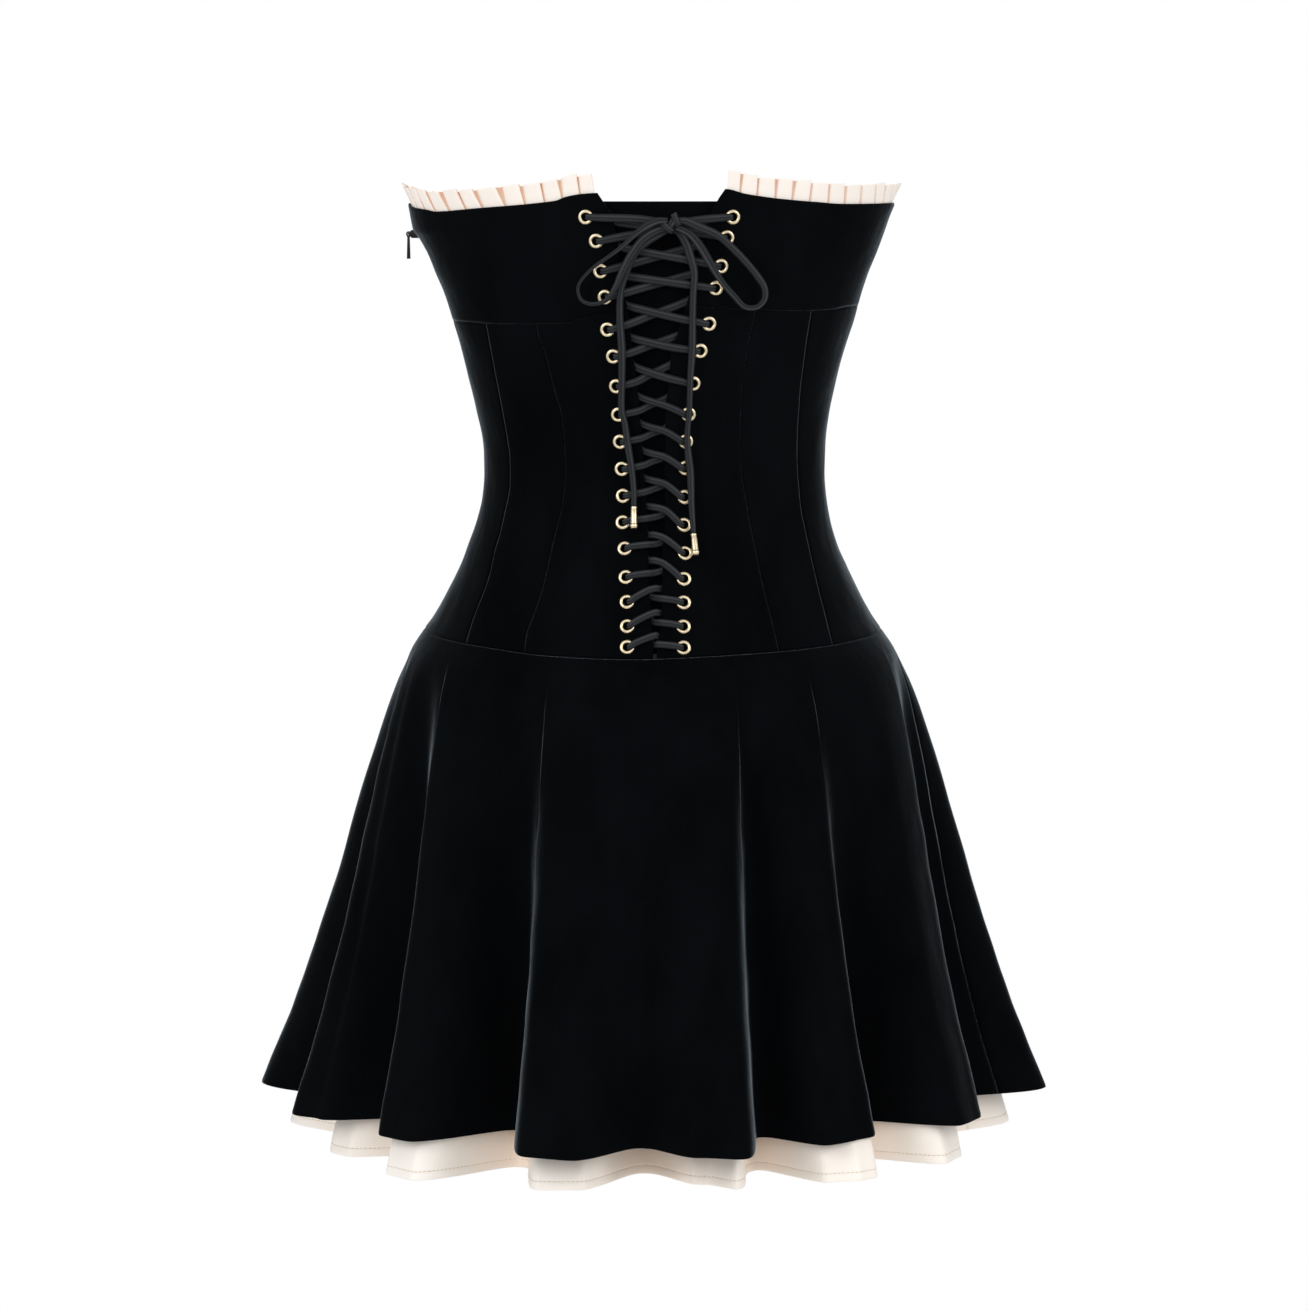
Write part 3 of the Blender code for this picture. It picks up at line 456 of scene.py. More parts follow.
def piece(name, points, faces, looks, look_of=None, sharp=None, uv=None, painted_light=None):
    """A smooth mesh from points in millimetres, with its looks face by face."""
    mesh = bpy.data.meshes.new(name)
    mesh.from_pydata((np.asarray(points, float) * MM).tolist(), [], faces)
    for look in looks:
        mesh.materials.append(look)
    count = len(mesh.polygons)
    mesh.polygons.foreach_set("use_smooth", np.ones(count, bool) if sharp is None else ~sharp)
    if look_of is not None:
        mesh.polygons.foreach_set("material_index", look_of)
    if uv is not None:
        corners = np.empty(len(mesh.loops), np.int32)
        mesh.loops.foreach_get("vertex_index", corners)
        mesh.uv_layers.new(name="millimetres").data.foreach_set("uv", np.asarray(uv, float)[corners].ravel())
    if painted_light is not None:
        mesh.attributes.new("painted_light", "FLOAT", "POINT").data.foreach_set("value", np.asarray(painted_light, float).ravel())
    mesh.update()
    obj = bpy.data.objects.new(name, mesh)
    bpy.context.scene.collection.objects.link(obj)
    return obj


def along_edges(points):
    """Distances of each grid point from the left, right, low and high edge of its grid."""
    across = np.linalg.norm(np.diff(points, axis=1), axis=-1)
    upward = np.linalg.norm(np.diff(points, axis=0), axis=-1)
    left = np.concatenate([np.zeros((len(points), 1)), np.cumsum(across, axis=1)], axis=1)
    low = np.concatenate([np.zeros((1, points.shape[1])), np.cumsum(upward, axis=0)], axis=0)
    return left, left[:, -1:] - left, low, low[-1:] - low


def normals_of(points):
    """Outward directions of a grid round the dress."""
    across = np.gradient(points, axis=1)
    upward = np.gradient(points, axis=0)
    found = unit(np.cross(across, upward))
    if np.sum(found[..., :2] * points[..., :2]) < 0:
        found = -found
    return found


def spaced(count, crowd=0.86):
    """Shares from 0 to 1, crowded towards both ends."""
    t = np.linspace(0, 1, count + 1)
    return t - crowd * np.sin(2 * np.pi * t) / (2 * np.pi)


def uneven(points, wavelength, seed):
    """A soft irregular rise and fall from -1 to 1 that depends only on the place."""
    total = np.zeros(points.shape[:-1])
    for k in range(6):
        turn = 1.7 * seed + 2.399 * k
        way = np.array([np.cos(turn), np.sin(1.3 * turn), 0.7 * np.sin(turn)])
        total += np.sin(points @ way * 2 * np.pi / wavelength * (0.8 + 0.17 * k) + seed + 2.1 * k)
    return total / 6


def cloth(name, points, wall, looks, slot, nodes, sink=(0.9, 0.9, 0.9, 0.9), reach=0.9, lift=0.0, painted_light=None):
    """A thin cloth wall on a grid of points, its four edges rolled inwards."""
    rows, columns = points.shape[:2]
    out = normals_of(points)
    rolled = np.zeros((rows, columns))
    for distance, deep in zip(along_edges(points), sink):
        rolled = np.maximum(rolled, deep * np.exp(-((distance / reach) ** 2)))
    outer = points + (lift - rolled)[..., None] * out
    inner = points - (wall - 0.25 * rolled)[..., None] * out
    left, _, low, _ = along_edges(points)
    uv = np.stack([left, low], axis=-1).reshape(-1, 2)
    index = np.arange(rows * columns).reshape(rows, columns)
    a, b = index[:-1, :-1].ravel(), index[:-1, 1:].ravel()
    c, d = index[1:, 1:].ravel(), index[1:, :-1].ravel()
    turned = np.sum(np.cross(points[0, 1] - points[0, 0], points[1, 0] - points[0, 0]) * out[0, 0]) < 0
    front = np.stack([a, b, c, d], axis=1)
    back = np.stack([d, c, b, a], axis=1) + rows * columns
    ring = np.concatenate([index[0], index[1:, -1], index[-1, -2::-1], index[-2:0:-1, 0]])
    after = np.roll(ring, -1)
    rim = np.stack([after, ring, ring + rows * columns, after + rows * columns], axis=1)
    faces = np.concatenate([front, back, rim])
    if turned:
        faces = faces[:, ::-1]
    look_of = np.concatenate([np.zeros(len(front)), np.ones(len(back)), np.zeros(len(rim))]).astype(np.int32)
    both = np.concatenate([outer.reshape(-1, 3), inner.reshape(-1, 3)])
    if painted_light is not None:
        painted_light = np.concatenate([painted_light.ravel(), painted_light.ravel()])
    obj = piece(name, both, faces.tolist(), looks, look_of, uv=np.concatenate([uv, uv]), painted_light=painted_light)
    return finished(obj, slot, *nodes)


top_edge = seam_curve(TOP_EDGE)
over_band = seam_curve(BAND_SEAM, 0.1)
under_band = seam_curve(BAND_SEAM, -0.1)
drop_seam = seam_curve(DROP_SEAM)
opening_left = edge_curve(OPENING, 1)
opening_right = edge_curve(OPENING, 2)
inner_left = edge_curve(INNER_SEAMS, 1)
inner_right = edge_curve(INNER_SEAMS, 2)
outer_left = edge_curve(OUTER_SEAMS, 1)
outer_right = edge_curve(OUTER_SEAMS, 2)
side_left = fixed_edge(-90)
side_right = fixed_edge(90)
left_spots = [row[:2] for row in EYELETS]
right_spots = [row[2:] for row in EYELETS]


def panel_grid(left, right, bottom, top, columns, rows, out=0.0):
    """Points of a bodice panel between two edges and two seams."""
    share = spaced(rows)[:, None]

    def height(angle):
        low = bottom(angle)
        return low + share * (top(angle) - low)

    edges = []
    for edge, way in ((left, 1), (right, -1)):
        angle = edge(np.zeros_like(share))
        for _ in range(12):
            angle = edge(height(angle))
        reach = np.linalg.norm(body(angle + 1, height(angle)) - body(angle, height(angle)), axis=-1)
        edges.append(angle + way * 0.05 / reach)
    angles = edges[0] + spaced(columns)[None, :] * (edges[1] - edges[0])
    z = height(angles)
    flat = body(angles, z)
    ease = 0.28 * uneven(flat, 46.0, 1.0) + 0.12 * uneven(flat, 17.0, 2.0)
    return raised(body, angles, z, out + ease)


def hole_cutter(spots):
    """A set of short round posts through the cloth at the eyelets."""
    points = []
    faces = []
    sides = 20
    turns = 2 * np.pi * np.arange(sides) / sides
    for x, z in spots:
        center = on_back(x, z, 0.0)
        axis = on_back(x, z, 1.0) - center
        first = len(points)
        for depth in (-5.0, 4.0):
            ring = np.stack([HOLE_RADIUS * np.cos(turns), HOLE_RADIUS * np.sin(turns), depth + 0 * turns], axis=1)
            points.extend(frame_at(center, axis, ring).tolist())
        faces.append(tuple(first + k for k in range(sides - 1, -1, -1)))
        faces.append(tuple(first + sides + k for k in range(sides)))
        for k in range(sides):
            n = (k + 1) % sides
            faces.append((first + k, first + n, first + sides + n, first + sides + k))
    return piece("posts", points, faces, [velvet])


def cut_holes(obj, spots):
    cutter = hole_cutter(spots)
    cut = obj.modifiers.new("holes", "BOOLEAN")
    cut.operation = "DIFFERENCE"
    cut.solver = "EXACT"
    cut.object = cutter
    settle(obj)
    bpy.data.objects.remove(cutter, do_unlink=True)


def settle(obj):
    """Makes the modified shape of a piece its mesh."""
    seen = obj.evaluated_get(bpy.context.evaluated_depsgraph_get())
    mesh = bpy.data.meshes.new_from_object(seen)
    obj.modifiers.clear()
    obj.data = mesh


def bodice_panel(name, left, right, bottom, top, columns, rows, spots=()):
    points = panel_grid(left, right, bottom, top, columns, rows)
    obj = cloth(name + "_cloth", points, 1.3, [velvet, backing], "velvet", [name])
    if len(spots):
        cut_holes(obj, spots)
    return obj


bodice_panel("band_left", side_left, opening_left, over_band, top_edge, 100, 46, left_spots[:BAND_EYELETS])
bodice_panel("band_right", opening_right, side_right, over_band, top_edge, 100, 46, right_spots[:BAND_EYELETS])
bodice_panel(
    "center_back_left", inner_left, opening_left, drop_seam, under_band, 44, 110, left_spots[BAND_EYELETS:]
)
bodice_panel(
    "center_back_right", opening_right, inner_right, drop_seam, under_band, 44, 110, right_spots[BAND_EYELETS:]
)
bodice_panel("side_back_left", outer_left, inner_left, drop_seam, under_band, 30, 110)
bodice_panel("side_back_right", inner_right, outer_right, drop_seam, under_band, 30, 110)
bodice_panel("side_left", side_left, outer_left, drop_seam, under_band, 40, 110)
bodice_panel("side_right", outer_right, side_right, drop_seam, under_band, 40, 110)
bodice_panel("front_right", side_right, fixed_edge(142), drop_seam, top_edge, 60, 110)
bodice_panel("front_left", fixed_edge(-142), side_left, drop_seam, top_edge, 60, 110)


def mirrored(curve):
    return lambda angle: curve(180 - abs(180 - angle))


bodice_panel(
    "front_center", fixed_edge(142), fixed_edge(218), mirrored(drop_seam), mirrored(top_edge), 90, 110
)


def modesty():
    left = edge_curve([(-120, -48.0), (0, -48.0), (140, -54.0), (200, -56.0)], 1)
    right = edge_curve([(-120, 50.0), (0, 50.0), (140, 60.0), (200, 64.0)], 1)
    points = panel_grid(
        left, right, lambda a: np.full_like(a, -121.0), lambda a: np.full_like(a, 195.4), 50, 110, -6.2
    )
    obj = cloth("modesty_panel_cloth", points, 1.0, [velvet, backing], "velvet", ["modesty_panel"])


modesty()


# Eyelets: a rolled flange on the velvet and a short barrel through it
FLANGE = [
    (2.85, -1.4), (2.8, 0.2), (2.95, 0.75), (3.35, 1.12), (3.9, 1.25), (4.45, 1.1), (4.9, 0.72), (5.15, 0.3),
    (5.2, -0.1), (3.2, -0.15), (3.1, -1.4),
]


def lathe_points(center, axis, profile, sides):
    turns = 2 * np.pi * np.arange(sides) / sides
    rings = []
    for radius, height in profile:
        ring = np.stack([radius * np.cos(turns), radius * np.sin(turns), height + 0 * turns], axis=1)
        rings.append(frame_at(center, axis, ring))
    return np.array(rings)


def ring_faces(rings, sides, first, closed):
    faces = []
    for j in range(rings if closed else rings - 1):
        n = (j + 1) % rings
        for k in range(sides):
            m = (k + 1) % sides
            faces.append((first + j * sides + k, first + j * sides + m, first + n * sides + m, first + n * sides + k))
    return faces


def eyelets(side, spots):
    sides = 36
    points = []
    faces = []
    for x, z in spots:
        center = on_back(x, z, 0.0)
        axis = on_back(x, z, 1.0) - center
        faces.extend(ring_faces(len(FLANGE), sides, len(points), True))
        points.extend(lathe_points(center, axis, FLANGE[::-1], sides).reshape(-1, 3).tolist())
    obj = piece("eyelets_" + side, points, faces, [gold])
    finished(obj, "gold", *[f"eyelet_{side}_{k + 1:02d}" for k in range(len(spots))])


eyelets("left", left_spots)
eyelets("right", right_spots)

# Lacing
LACE_WIDE = 5.6
OVER = 2.3
UNDER = -3.4
KNOT = (12.0, 181.0, 7.4)


def lace_rows(first_side):
    """Points of one lace from the bottom to the knot, as x, height, distance out and width."""
    rows = []
    side = first_side
    for k in range(len(EYELETS) - 1, -1, -1):
        spots = left_spots if side < 0 else right_spots
        others = right_spots if side < 0 else left_spots
        x, z = spots[k]
        if not rows:
            rows.append((side * 1.2 if side < 0 else side * 4.5, z - 1.0, UNDER, 4.6))
            rows.append((x - side * 5.5, z - 0.5, UNDER, 4.2))
        rows.append((x - side * 2.2, z, UNDER + 0.3, 3.6))
        rows.append((x - side * 0.7, z, -1.9, 3.6))
        rows.append((x - side * 0.7, z, 0.6, 3.8))
        rows.append((x - side * 2.6, z, OVER - 0.25, 4.8))
        if k == 0:
            rows.append((x - side * 7, z - 0.3, OVER + 0.1, 5.2))
            rows.append((KNOT[0] + side * 24, z - 1.2, 3.4, LACE_WIDE))
            rows.append((KNOT[0] + side * 7.4, KNOT[1] + 1.0, 4.3, 4.6))
            break
        there, up = others[k - 1]
        rise = up - z
        on_top = (side > 0) == (k < 14)
        wide_gap = np.clip((abs(there - x) - 42) / 14, 0, 1)
        leave = 0.5 - 0.32 * wide_gap if on_top else 0.14
        across = 0.45 + 0.4 * wide_gap if on_top else 0.7 + 0.3 * wide_gap
        own = smooth(OPENING, 1 if side < 0 else 2, z + leave * rise)
        far = smooth(OPENING, 2 if side < 0 else 1, z + leave * rise)
        enter = leave + 0.05 + across * abs(far - own) / abs(there - x)
        far = smooth(OPENING, 2 if side < 0 else 1, z + enter * rise)
        narrow = abs(far - own) < 9
        turn_share, turn_depth = (0.5 if narrow else 0.62, 0.9) if on_top else (0.4, -2.1)
        turn_x = own + turn_share * (far - own)
        turn_z = z + (leave + turn_share * (enter - leave)) * rise
        wide = LACE_WIDE if z > 60 else 5.0
        rows.append((x - side * 5.6, z + 0.3 * leave * rise, OVER, 5.0))
        rows.append((own, z + leave * rise, 1.6 if on_top else 1.3, wide))
        rows.append((turn_x, turn_z, turn_depth, wide))
        rows.append((far, z + enter * rise, -4.0 if narrow else -3.1, wide))
        rows.append((there + side * 5.5, up - 0.06 * rise, UNDER, 4.4))
        side = -side
    return np.array(rows, float)


def eased(rows, parts):
    """A smooth run through rows of numbers, with a number of steps between each two."""
    padded = np.concatenate([2 * rows[:1] - rows[1:2], rows, 2 * rows[-1:] - rows[-2:-1]])
    run = []
    for k in range(len(rows) - 1):
        p0, p1, p2, p3 = padded[k : k + 4]
        gap = [max(np.linalg.norm((b - a)[:3]) ** 0.5, 1e-3) for a, b in ((p0, p1), (p1, p2), (p2, p3))]
        m1 = (p2 - p1) + gap[1] * ((p1 - p0) / gap[0] - (p2 - p0) / (gap[0] + gap[1]))
        m2 = (p2 - p1) + gap[1] * ((p3 - p2) / gap[2] - (p3 - p1) / (gap[1] + gap[2]))
        for t in np.arange(parts) / parts:
            run.append(
                (2 * t**3 - 3 * t**2 + 1) * p1
                + (t**3 - 2 * t**2 + t) * m1
                + (3 * t**2 - 2 * t**3) * p2
                + (t**3 - t**2) * m2
            )
    run.append(rows[-1])
    return np.array(run)


BRAID_SIDES = 24


def flat_braid(name, path, wide, thick, upright, slot, nodes):
    """A soft flat braid with a raised rib near each edge, its width near a given direction."""
    ahead = unit(np.gradient(path, axis=0))
    side = unit(upright - np.sum(upright * ahead, axis=1, keepdims=True) * ahead)
    lift = np.cross(ahead, side)
    turns = 2 * np.pi * np.arange(BRAID_SIDES) / BRAID_SIDES
    across = np.sign(np.cos(turns)) * np.abs(np.cos(turns)) ** 0.8
    high = np.sign(np.sin(turns)) * np.abs(np.sin(turns)) ** 0.7
    high = high * (0.5 + 0.55 * np.exp(-(((np.abs(across) - 0.55) / 0.2) ** 2)))
    rings = (
        path[:, None]
        + side[:, None] * (across[None, :, None] * wide[:, None, None] / 2)
        + lift[:, None] * (high[None, :, None] * thick[:, None, None] / 2)
    )
    length = np.concatenate([[0], np.cumsum(np.linalg.norm(np.diff(path, axis=0), axis=1))])
    girth = np.linspace(0, 12.0, BRAID_SIDES, endpoint=False)
    uv = np.stack(np.broadcast_arrays(girth[None, :], length[:, None]), axis=-1).reshape(-1, 2)
    faces = ring_faces(len(path), BRAID_SIDES, 0, False)
    faces.append(tuple(range(BRAID_SIDES))[::-1])
    last = (len(path) - 1) * BRAID_SIDES
    faces.append(tuple(range(last, last + BRAID_SIDES)))
    # Painted highlight along a ridge near one edge of the cord and a weaker one near the other; painted shade
    # elsewhere.
    ridge_highlight = np.exp(-(((across - 0.42) / 0.2) ** 2)) + 0.45 * np.exp(-(((across + 0.5) / 0.2) ** 2))
    ridge = np.broadcast_to(np.clip(ridge_highlight, 0, 1), (len(path), BRAID_SIDES)).reshape(-1)
    obj = piece(name, rings.reshape(-1, 3), faces, [braid], uv=uv, painted_light=ridge)
    return finished(obj, slot, *nodes), length[-1]


def lace(name, first_side):
    rows = eased(lace_rows(first_side), 6)
    path = on_back(rows[:, 0], rows[:, 1], rows[:, 2])
    high = on_back(rows[:, 0], rows[:, 1] + 2, rows[:, 2])
    low = on_back(rows[:, 0], rows[:, 1] - 2, rows[:, 2])
    thick = 1.9 + 0 * rows[:, 3]
    _, length = flat_braid(name + "_braid", path, rows[:, 3], thick, high - low, "braid", [name])
    print("lace", name, round(length))


lace("lace_left", -1)
lace("lace_right", 1)

# Bow loops and tails: x, height, distance out, width, thickness
LOOP_LEFT = [
    (9, 183, 8.8, 3.6, 2.4), (2, 182.4, 9, 5, 2), (-4.5, 179.4, 8.8, 5.4, 1.8), (-11, 174.5, 8.6, 4, 2),
    (-27.5, 160.5, 8.4, 2.7, 2.4), (-42.5, 149, 8.2, 2.4, 2.6), (-50, 138.5, 8, 2.3, 2.6),
    (-48, 129.5, 7.8, 2.6, 2.6), (-41, 126.5, 7.6, 2.8, 2.5), (-32, 129, 7.4, 3.2, 2.3),
    (-26, 137, 7.2, 4, 2), (-19.5, 151.5, 7, 5.4, 1.8), (-10, 167.4, 6.9, 5.6, 1.8),
    (-2.2, 173.6, 6.8, 5.4, 1.9), (4, 176.4, 6.8, 4.8, 2.1), (9.4, 178, 6.8, 4, 2.4),
]
LOOP_RIGHT = [
    (15.2, 183, 8.8, 3.6, 2.4), (21.5, 182.4, 9, 5.4, 2), (28, 179.4, 8.9, 5.8, 1.8), (45, 171, 8.6, 5.2, 1.9),
    (59, 157, 8.4, 5, 2), (68, 146, 8.2, 5, 2), (73, 137.5, 8, 4.8, 2), (73, 130, 7.8, 4.4, 2.2),
    (68, 124.5, 7.6, 3.8, 2.4), (60.5, 124.5, 7.4, 3.9, 2.4), (53, 132, 7.2, 4.2, 2.2),
    (45, 141.5, 7.1, 4.4, 2), (37.5, 153.7, 7, 5.6, 1.9), (30.5, 166, 6.9, 5.8, 1.8),
    (24.8, 172.6, 6.8, 5.4, 1.9), (19.8, 175.8, 6.8, 4.8, 2.2), (14.6, 178, 6.8, 4, 2.4),
]
TAIL_LEFT = [
    (10.2, 177.2, 4.2, 4.2, 2.0), (3.5, 173.6, 4.3, 5.6, 1.7), (-3, 170.2, 4.3, 6.2, 1.6),
    (-8.6, 166, 4.3, 6.0, 1.6), (-13.6, 159.6, 4.3, 5.8, 1.6), (-18.6, 148, 4.3, 5.4, 1.7),
    (-22.2, 135.3, 4.3, 4.6, 1.9), (-22.9, 116.2, 4.3, 5.0, 1.9), (-21.6, 95.7, 4.3, 5.4, 1.8),
    (-21.6, 73.7, 4.3, 4.8, 1.9), (-21.7, 53, 4.3, 4.6, 2.0), (-19.6, 44, 4.3, 4.4, 2.0),
    (-17.6, 28.8, 4.4, 5.0, 1.8), (-14.8, 10.9, 4.8, 4.4, 2.0), (-13.5, -4.3, 5.6, 4.0, 2.4),
    (-13.4, -15.4, 6.2, 3.6, 3.0),
]
TAIL_RIGHT = [
    (14.0, 177.0, 4.2, 4.2, 2.0), (18.2, 172.8, 4.3, 5.4, 1.7), (21.6, 167.4, 4.3, 6.0, 1.6),
    (24.4, 158.4, 4.3, 5.8, 1.6), (27, 147.6, 4.3, 5.2, 1.7), (26.3, 131.9, 4.3, 4.6, 1.9),
    (25.9, 113, 4.3, 4.8, 1.9), (25.7, 95.7, 4.3, 5.2, 1.8), (24.4, 73.7, 4.3, 4.4, 2.0),
    (23.7, 53, 4.3, 4.0, 2.1), (22.4, 35, 4.3, 4.2, 2.1), (23.1, 22.6, 4.3, 5.0, 1.9),
    (24.5, 10.8, 4.3, 5.2, 1.8), (25.2, -13.9, 5.0, 4.4, 2.1), (26.3, -34.8, 6.2, 3.6, 3.0),
]


def facing(name, table, nodes):
    """A braid that lies flat on the back. Gives the piece, its path and its length."""
    rows = eased(np.array(table, float), 8)
    path = on_back(rows[:, 0], rows[:, 1], rows[:, 2])
    outward = on_back(rows[:, 0], rows[:, 1], rows[:, 2] + 1) - path
    upright = np.cross(outward, np.gradient(path, axis=0))
    obj, length = flat_braid(name, path, rows[:, 3], rows[:, 4], upright, "braid", nodes)
    return obj, path, length


facing("bow_loop_left", LOOP_LEFT, ["bow"])
facing("bow_loop_right", LOOP_RIGHT, ["bow"])

# Knot: a slanting core under two wound bands, each at x, height, distance out, half height, half depth, lean
WOUND = [(14.6, 183.4, 7.2, 3.9, 3.4, 0.5), (8.8, 178.4, 7.0, 4.2, 3.2, 0.95), (11.8, 180.9, 7.6, 3.2, 3.0, -0.4)]


def knot():
    turns = np.linspace(-0.42 * np.pi, 1.42 * np.pi, 36)
    for k, (x, z, out, tall, deep, lean) in enumerate(WOUND):
        center = on_back(x, z, out)
        away = unit(on_back(x, z, out + 1) - center)
        along = np.array([np.cos(lean), 0, np.sin(lean)])
        across = np.array([-np.sin(lean), 0, np.cos(lean)])
        path = (
            center
            + 0.5 * np.cos(turns + 0.6)[:, None] * along
            + deep * np.sin(turns)[:, None] * away
            + tall * np.cos(turns)[:, None] * across
        )
        size = np.ones(len(path))
        upright = np.broadcast_to(along, path.shape)
        flat_braid(f"bow_knot_{k + 1}", path, 4.4 * size, 1.8 * size, upright, "braid", ["bow"])


knot()

# Metal ends of the tails, with a rounded tip and a step ring
AGLET = [
    (0.6, -0.5), (1.9, -0.45), (2.12, -0.1), (2.12, 0.6), (1.98, 0.9), (2.12, 1.2), (2.2, 6.0), (2.3, 11.6),
    (2.35, 12.2), (2.66, 12.45), (2.7, 13.0), (2.7, 13.7), (2.5, 14.1), (2.3, 14.3), (2.25, 14.8), (1.9, 15.1),
    (0.8, 15.2),
]
AGLET_DEPTH = 6.2


def aglet(name, x, z, foot_x):
    sides = 40
    start = on_back(x, z, AGLET_DEPTH)
    end = on_back(foot_x, z - 15, AGLET_DEPTH)
    points = lathe_points(start, end - start, AGLET, sides).reshape(-1, 3)
    faces = ring_faces(len(AGLET), sides, 0, False)
    faces.append(tuple(range(sides))[::-1])
    last = (len(AGLET) - 1) * sides
    faces.append(tuple(range(last, last + sides)))
    return finished(piece(name + "_metal", points, faces, [gold]), "gold", name)


def tail(name, table, end):
    obj, path, length = facing(name + "_braid", table, [name])
    print("tail", name, round(length))


tail("tail_left", TAIL_LEFT, aglet("aglet_left", -13.4, -15.7, -13.4))
tail("tail_right", TAIL_RIGHT, aglet("aglet_right", 26.4, -35.1, 28.0))

# Ruffle: knife pleats, each fold at a place seen on the back, and evenly round the front
RUFFLE_START = 16.9
RUFFLE_END = 346.6
RUFFLE_HEIGHT = 13.6
RUFFLE_TUCK = 4.0
RUFFLE_LEAN = 0.24
RUFFLE_SIDE_LEAN = 0.3
RIGHT_FOLDS = [58.0, 70.0, 83.0, 95.0, 107.5, 121.0, 133.0, 144.5, 155.5]
LEFT_FOLDS = [-163.5, -155.5, -145.0, -132.5, -120.5, -104.0, -90.0, -76.0, -63.5, -51.0]
FRONT_PLEATS = 36

# One pleat: share of its width, distance out in millimetres, share of shadow
PLEAT = [
    (0.0, -2.0, 1.0), (0.05, -1.9, 0.95), (0.1, -1.75, 0.8), (0.14, -1.3, 0.5), (0.165, -0.7, 0.2), (0.2, -0.3, 0.05),
    (0.28, -0.12, 0.0), (0.45, -0.03, 0.0), (0.65, 0.0, 0.0), (0.82, 0.05, 0.0), (0.93, 0.0, 0.0), (0.975, -0.25, 0.1),
    (0.99, -0.8, 0.4), (0.995, -1.4, 0.85),
]
SLIT_AT_SEAM = 0.7


def pleat_marks():
    right = back_angle(np.array(RIGHT_FOLDS), np.array(195.0))
    left = 360 + back_angle(np.array(LEFT_FOLDS), np.array(195.0))
    front = np.linspace(right[-1], left[0], FRONT_PLEATS + 1)[1:-1]
    return np.concatenate([[RUFFLE_START], right, front, left, [RUFFLE_END]])


def ruffle_point(turn, share, deep):
    """The strip at a turn counted from the right notch, a share of its height and a depth."""
    angle = np.where(turn > 180, turn - 360, turn)
    edge = smooth(TOP_EDGE, 1, angle)
    z = edge - RUFFLE_TUCK + share * (RUFFLE_TUCK + RUFFLE_HEIGHT)
    base = body(angle, np.minimum(z, edge))
    ahead = unit(body(angle + 1, edge) - body(angle - 1, edge))
    away = np.stack([ahead[..., 1], -ahead[..., 0], 0 * z], axis=-1)
    above = np.clip(z - edge, 0, None)
    in_front = np.clip((np.abs(angle) - 80) / 30, 0, 1)
    opening_up = np.clip(above / RUFFLE_HEIGHT, 0, 1)
    lean = RUFFLE_LEAN + RUFFLE_SIDE_LEAN * np.exp(-(((np.abs(angle) - 94) / 17) ** 2))
    out = -2.0 - 1.5 * in_front + deep * (0.7 + 0.35 * opening_up) + lean * above
    point = base + out[..., None] * away
    point[..., 2] = z
    return point


def ruffle():
    marks = pleat_marks()
    turns, opened, depths, shades, tips, leans = [], [], [], [], [], []
    for k, (low, high) in enumerate(zip(marks[:-1], marks[1:])):
        middle = 0.5 * (low + high)
        beside = np.clip((middle - 250) / 40, 0, 1) * np.clip((332 - middle) / 34, 0, 1)
        on_right = np.clip((middle - 40) / 25, 0, 1) * np.clip((120 - middle) / 30, 0, 1)
        in_view = 0.7 * np.clip((middle - 300) / 20, 0, 1)
        for share, deep, shade in PLEAT:
            if k == 0 and share < 0.25:
                deep, shade = 0.0, 0.0
            turns.append(low + share * (high - low))
            opened.append((high - low) * share if share < 0.25 else 0.0)
            depths.append(deep)
            shades.append(shade * (0.85 + 0.15 * beside))
            tips.append(0.5 * np.sin(2.3 * k) + 0.35 * np.sin(5.1 * k) + 0.9 * (share - 0.5) - 0.4 * (deep < -1.0))
            leans.append(0.25 * np.sin(1.9 * k + 0.5) - 3.6 * beside - 1.5 * on_right - in_view)
    high_share = np.concatenate([np.linspace(0, 0.9, 15), [0.94, 0.97, 0.99, 1.0]])[:, None]
    above = np.clip((high_share * (RUFFLE_TUCK + RUFFLE_HEIGHT) - RUFFLE_TUCK) / RUFFLE_HEIGHT, 0, 1)
    closing = (1 - SLIT_AT_SEAM) * (1 - above) * np.array(opened)[None, :]
    turn = np.array(turns)[None, :] - closing + above * np.array(leans)[None, :]
    turn = np.clip(turn, RUFFLE_START, RUFFLE_END)
    deep = np.array(depths)[None, :] * (0.75 + 0.5 * above)
    points = ruffle_point(turn, high_share + 0 * turn, deep)
    points[..., 2] += np.array(tips)[None, :] * above
    # Painted peach shade in the pleat slits, a little stronger on the left side and towards the top edge.
    painted_light = np.array(shades)[None, :] * (0.75 + 0.25 * above) + 0 * turn
    left, _, low, _ = along_edges(points)
    obj = cloth(
        "ruffle_pleats", points, 0.4, [pleated, pleated], "pleated_satin", ["ruffle"], sink=(0.1, 0.1, 0.0, 0.1),
        reach=0.5, painted_light=np.clip(painted_light, 0, 1),
    )


ruffle()


# Skirts
def skirt_place(turn, share):
    """The point of the velvet skirt at an angle round the hem and a share of its drop."""
    start = smooth(FOLD_SPREAD, 1, turn)
    seam_z = drop_seam(start) - SEAM_GAP
    seam = body(start, seam_z)
    flare = smooth(FLARE, 1, share)[..., None]
    around = np.radians(turn)
    away = np.stack([np.sin(around), -np.cos(around), 0 * around], axis=-1)
    depth = RIDGE_RADIUS - waves(VELVET_FOLDS, turn)
    grown = np.clip((share - FOLDS_START) / (1 - FOLDS_START), 0, None) ** FOLDS_GROW
    point = seam * (1 - flare) + RIDGE_RADIUS * away * flare
    point = point - (depth * grown)[..., None] * unit(point * [1, 1, 0])
    point[..., 2] = seam_z + share * (HEM_Z - seam_z)
    return point


NEST = 2.9
UNDER_LAST = 1 + (HEM_Z - UNDER_HEM_Z) / 322.0
SIDE_LEFT = -74.0
SIDE_RIGHT = 77.0


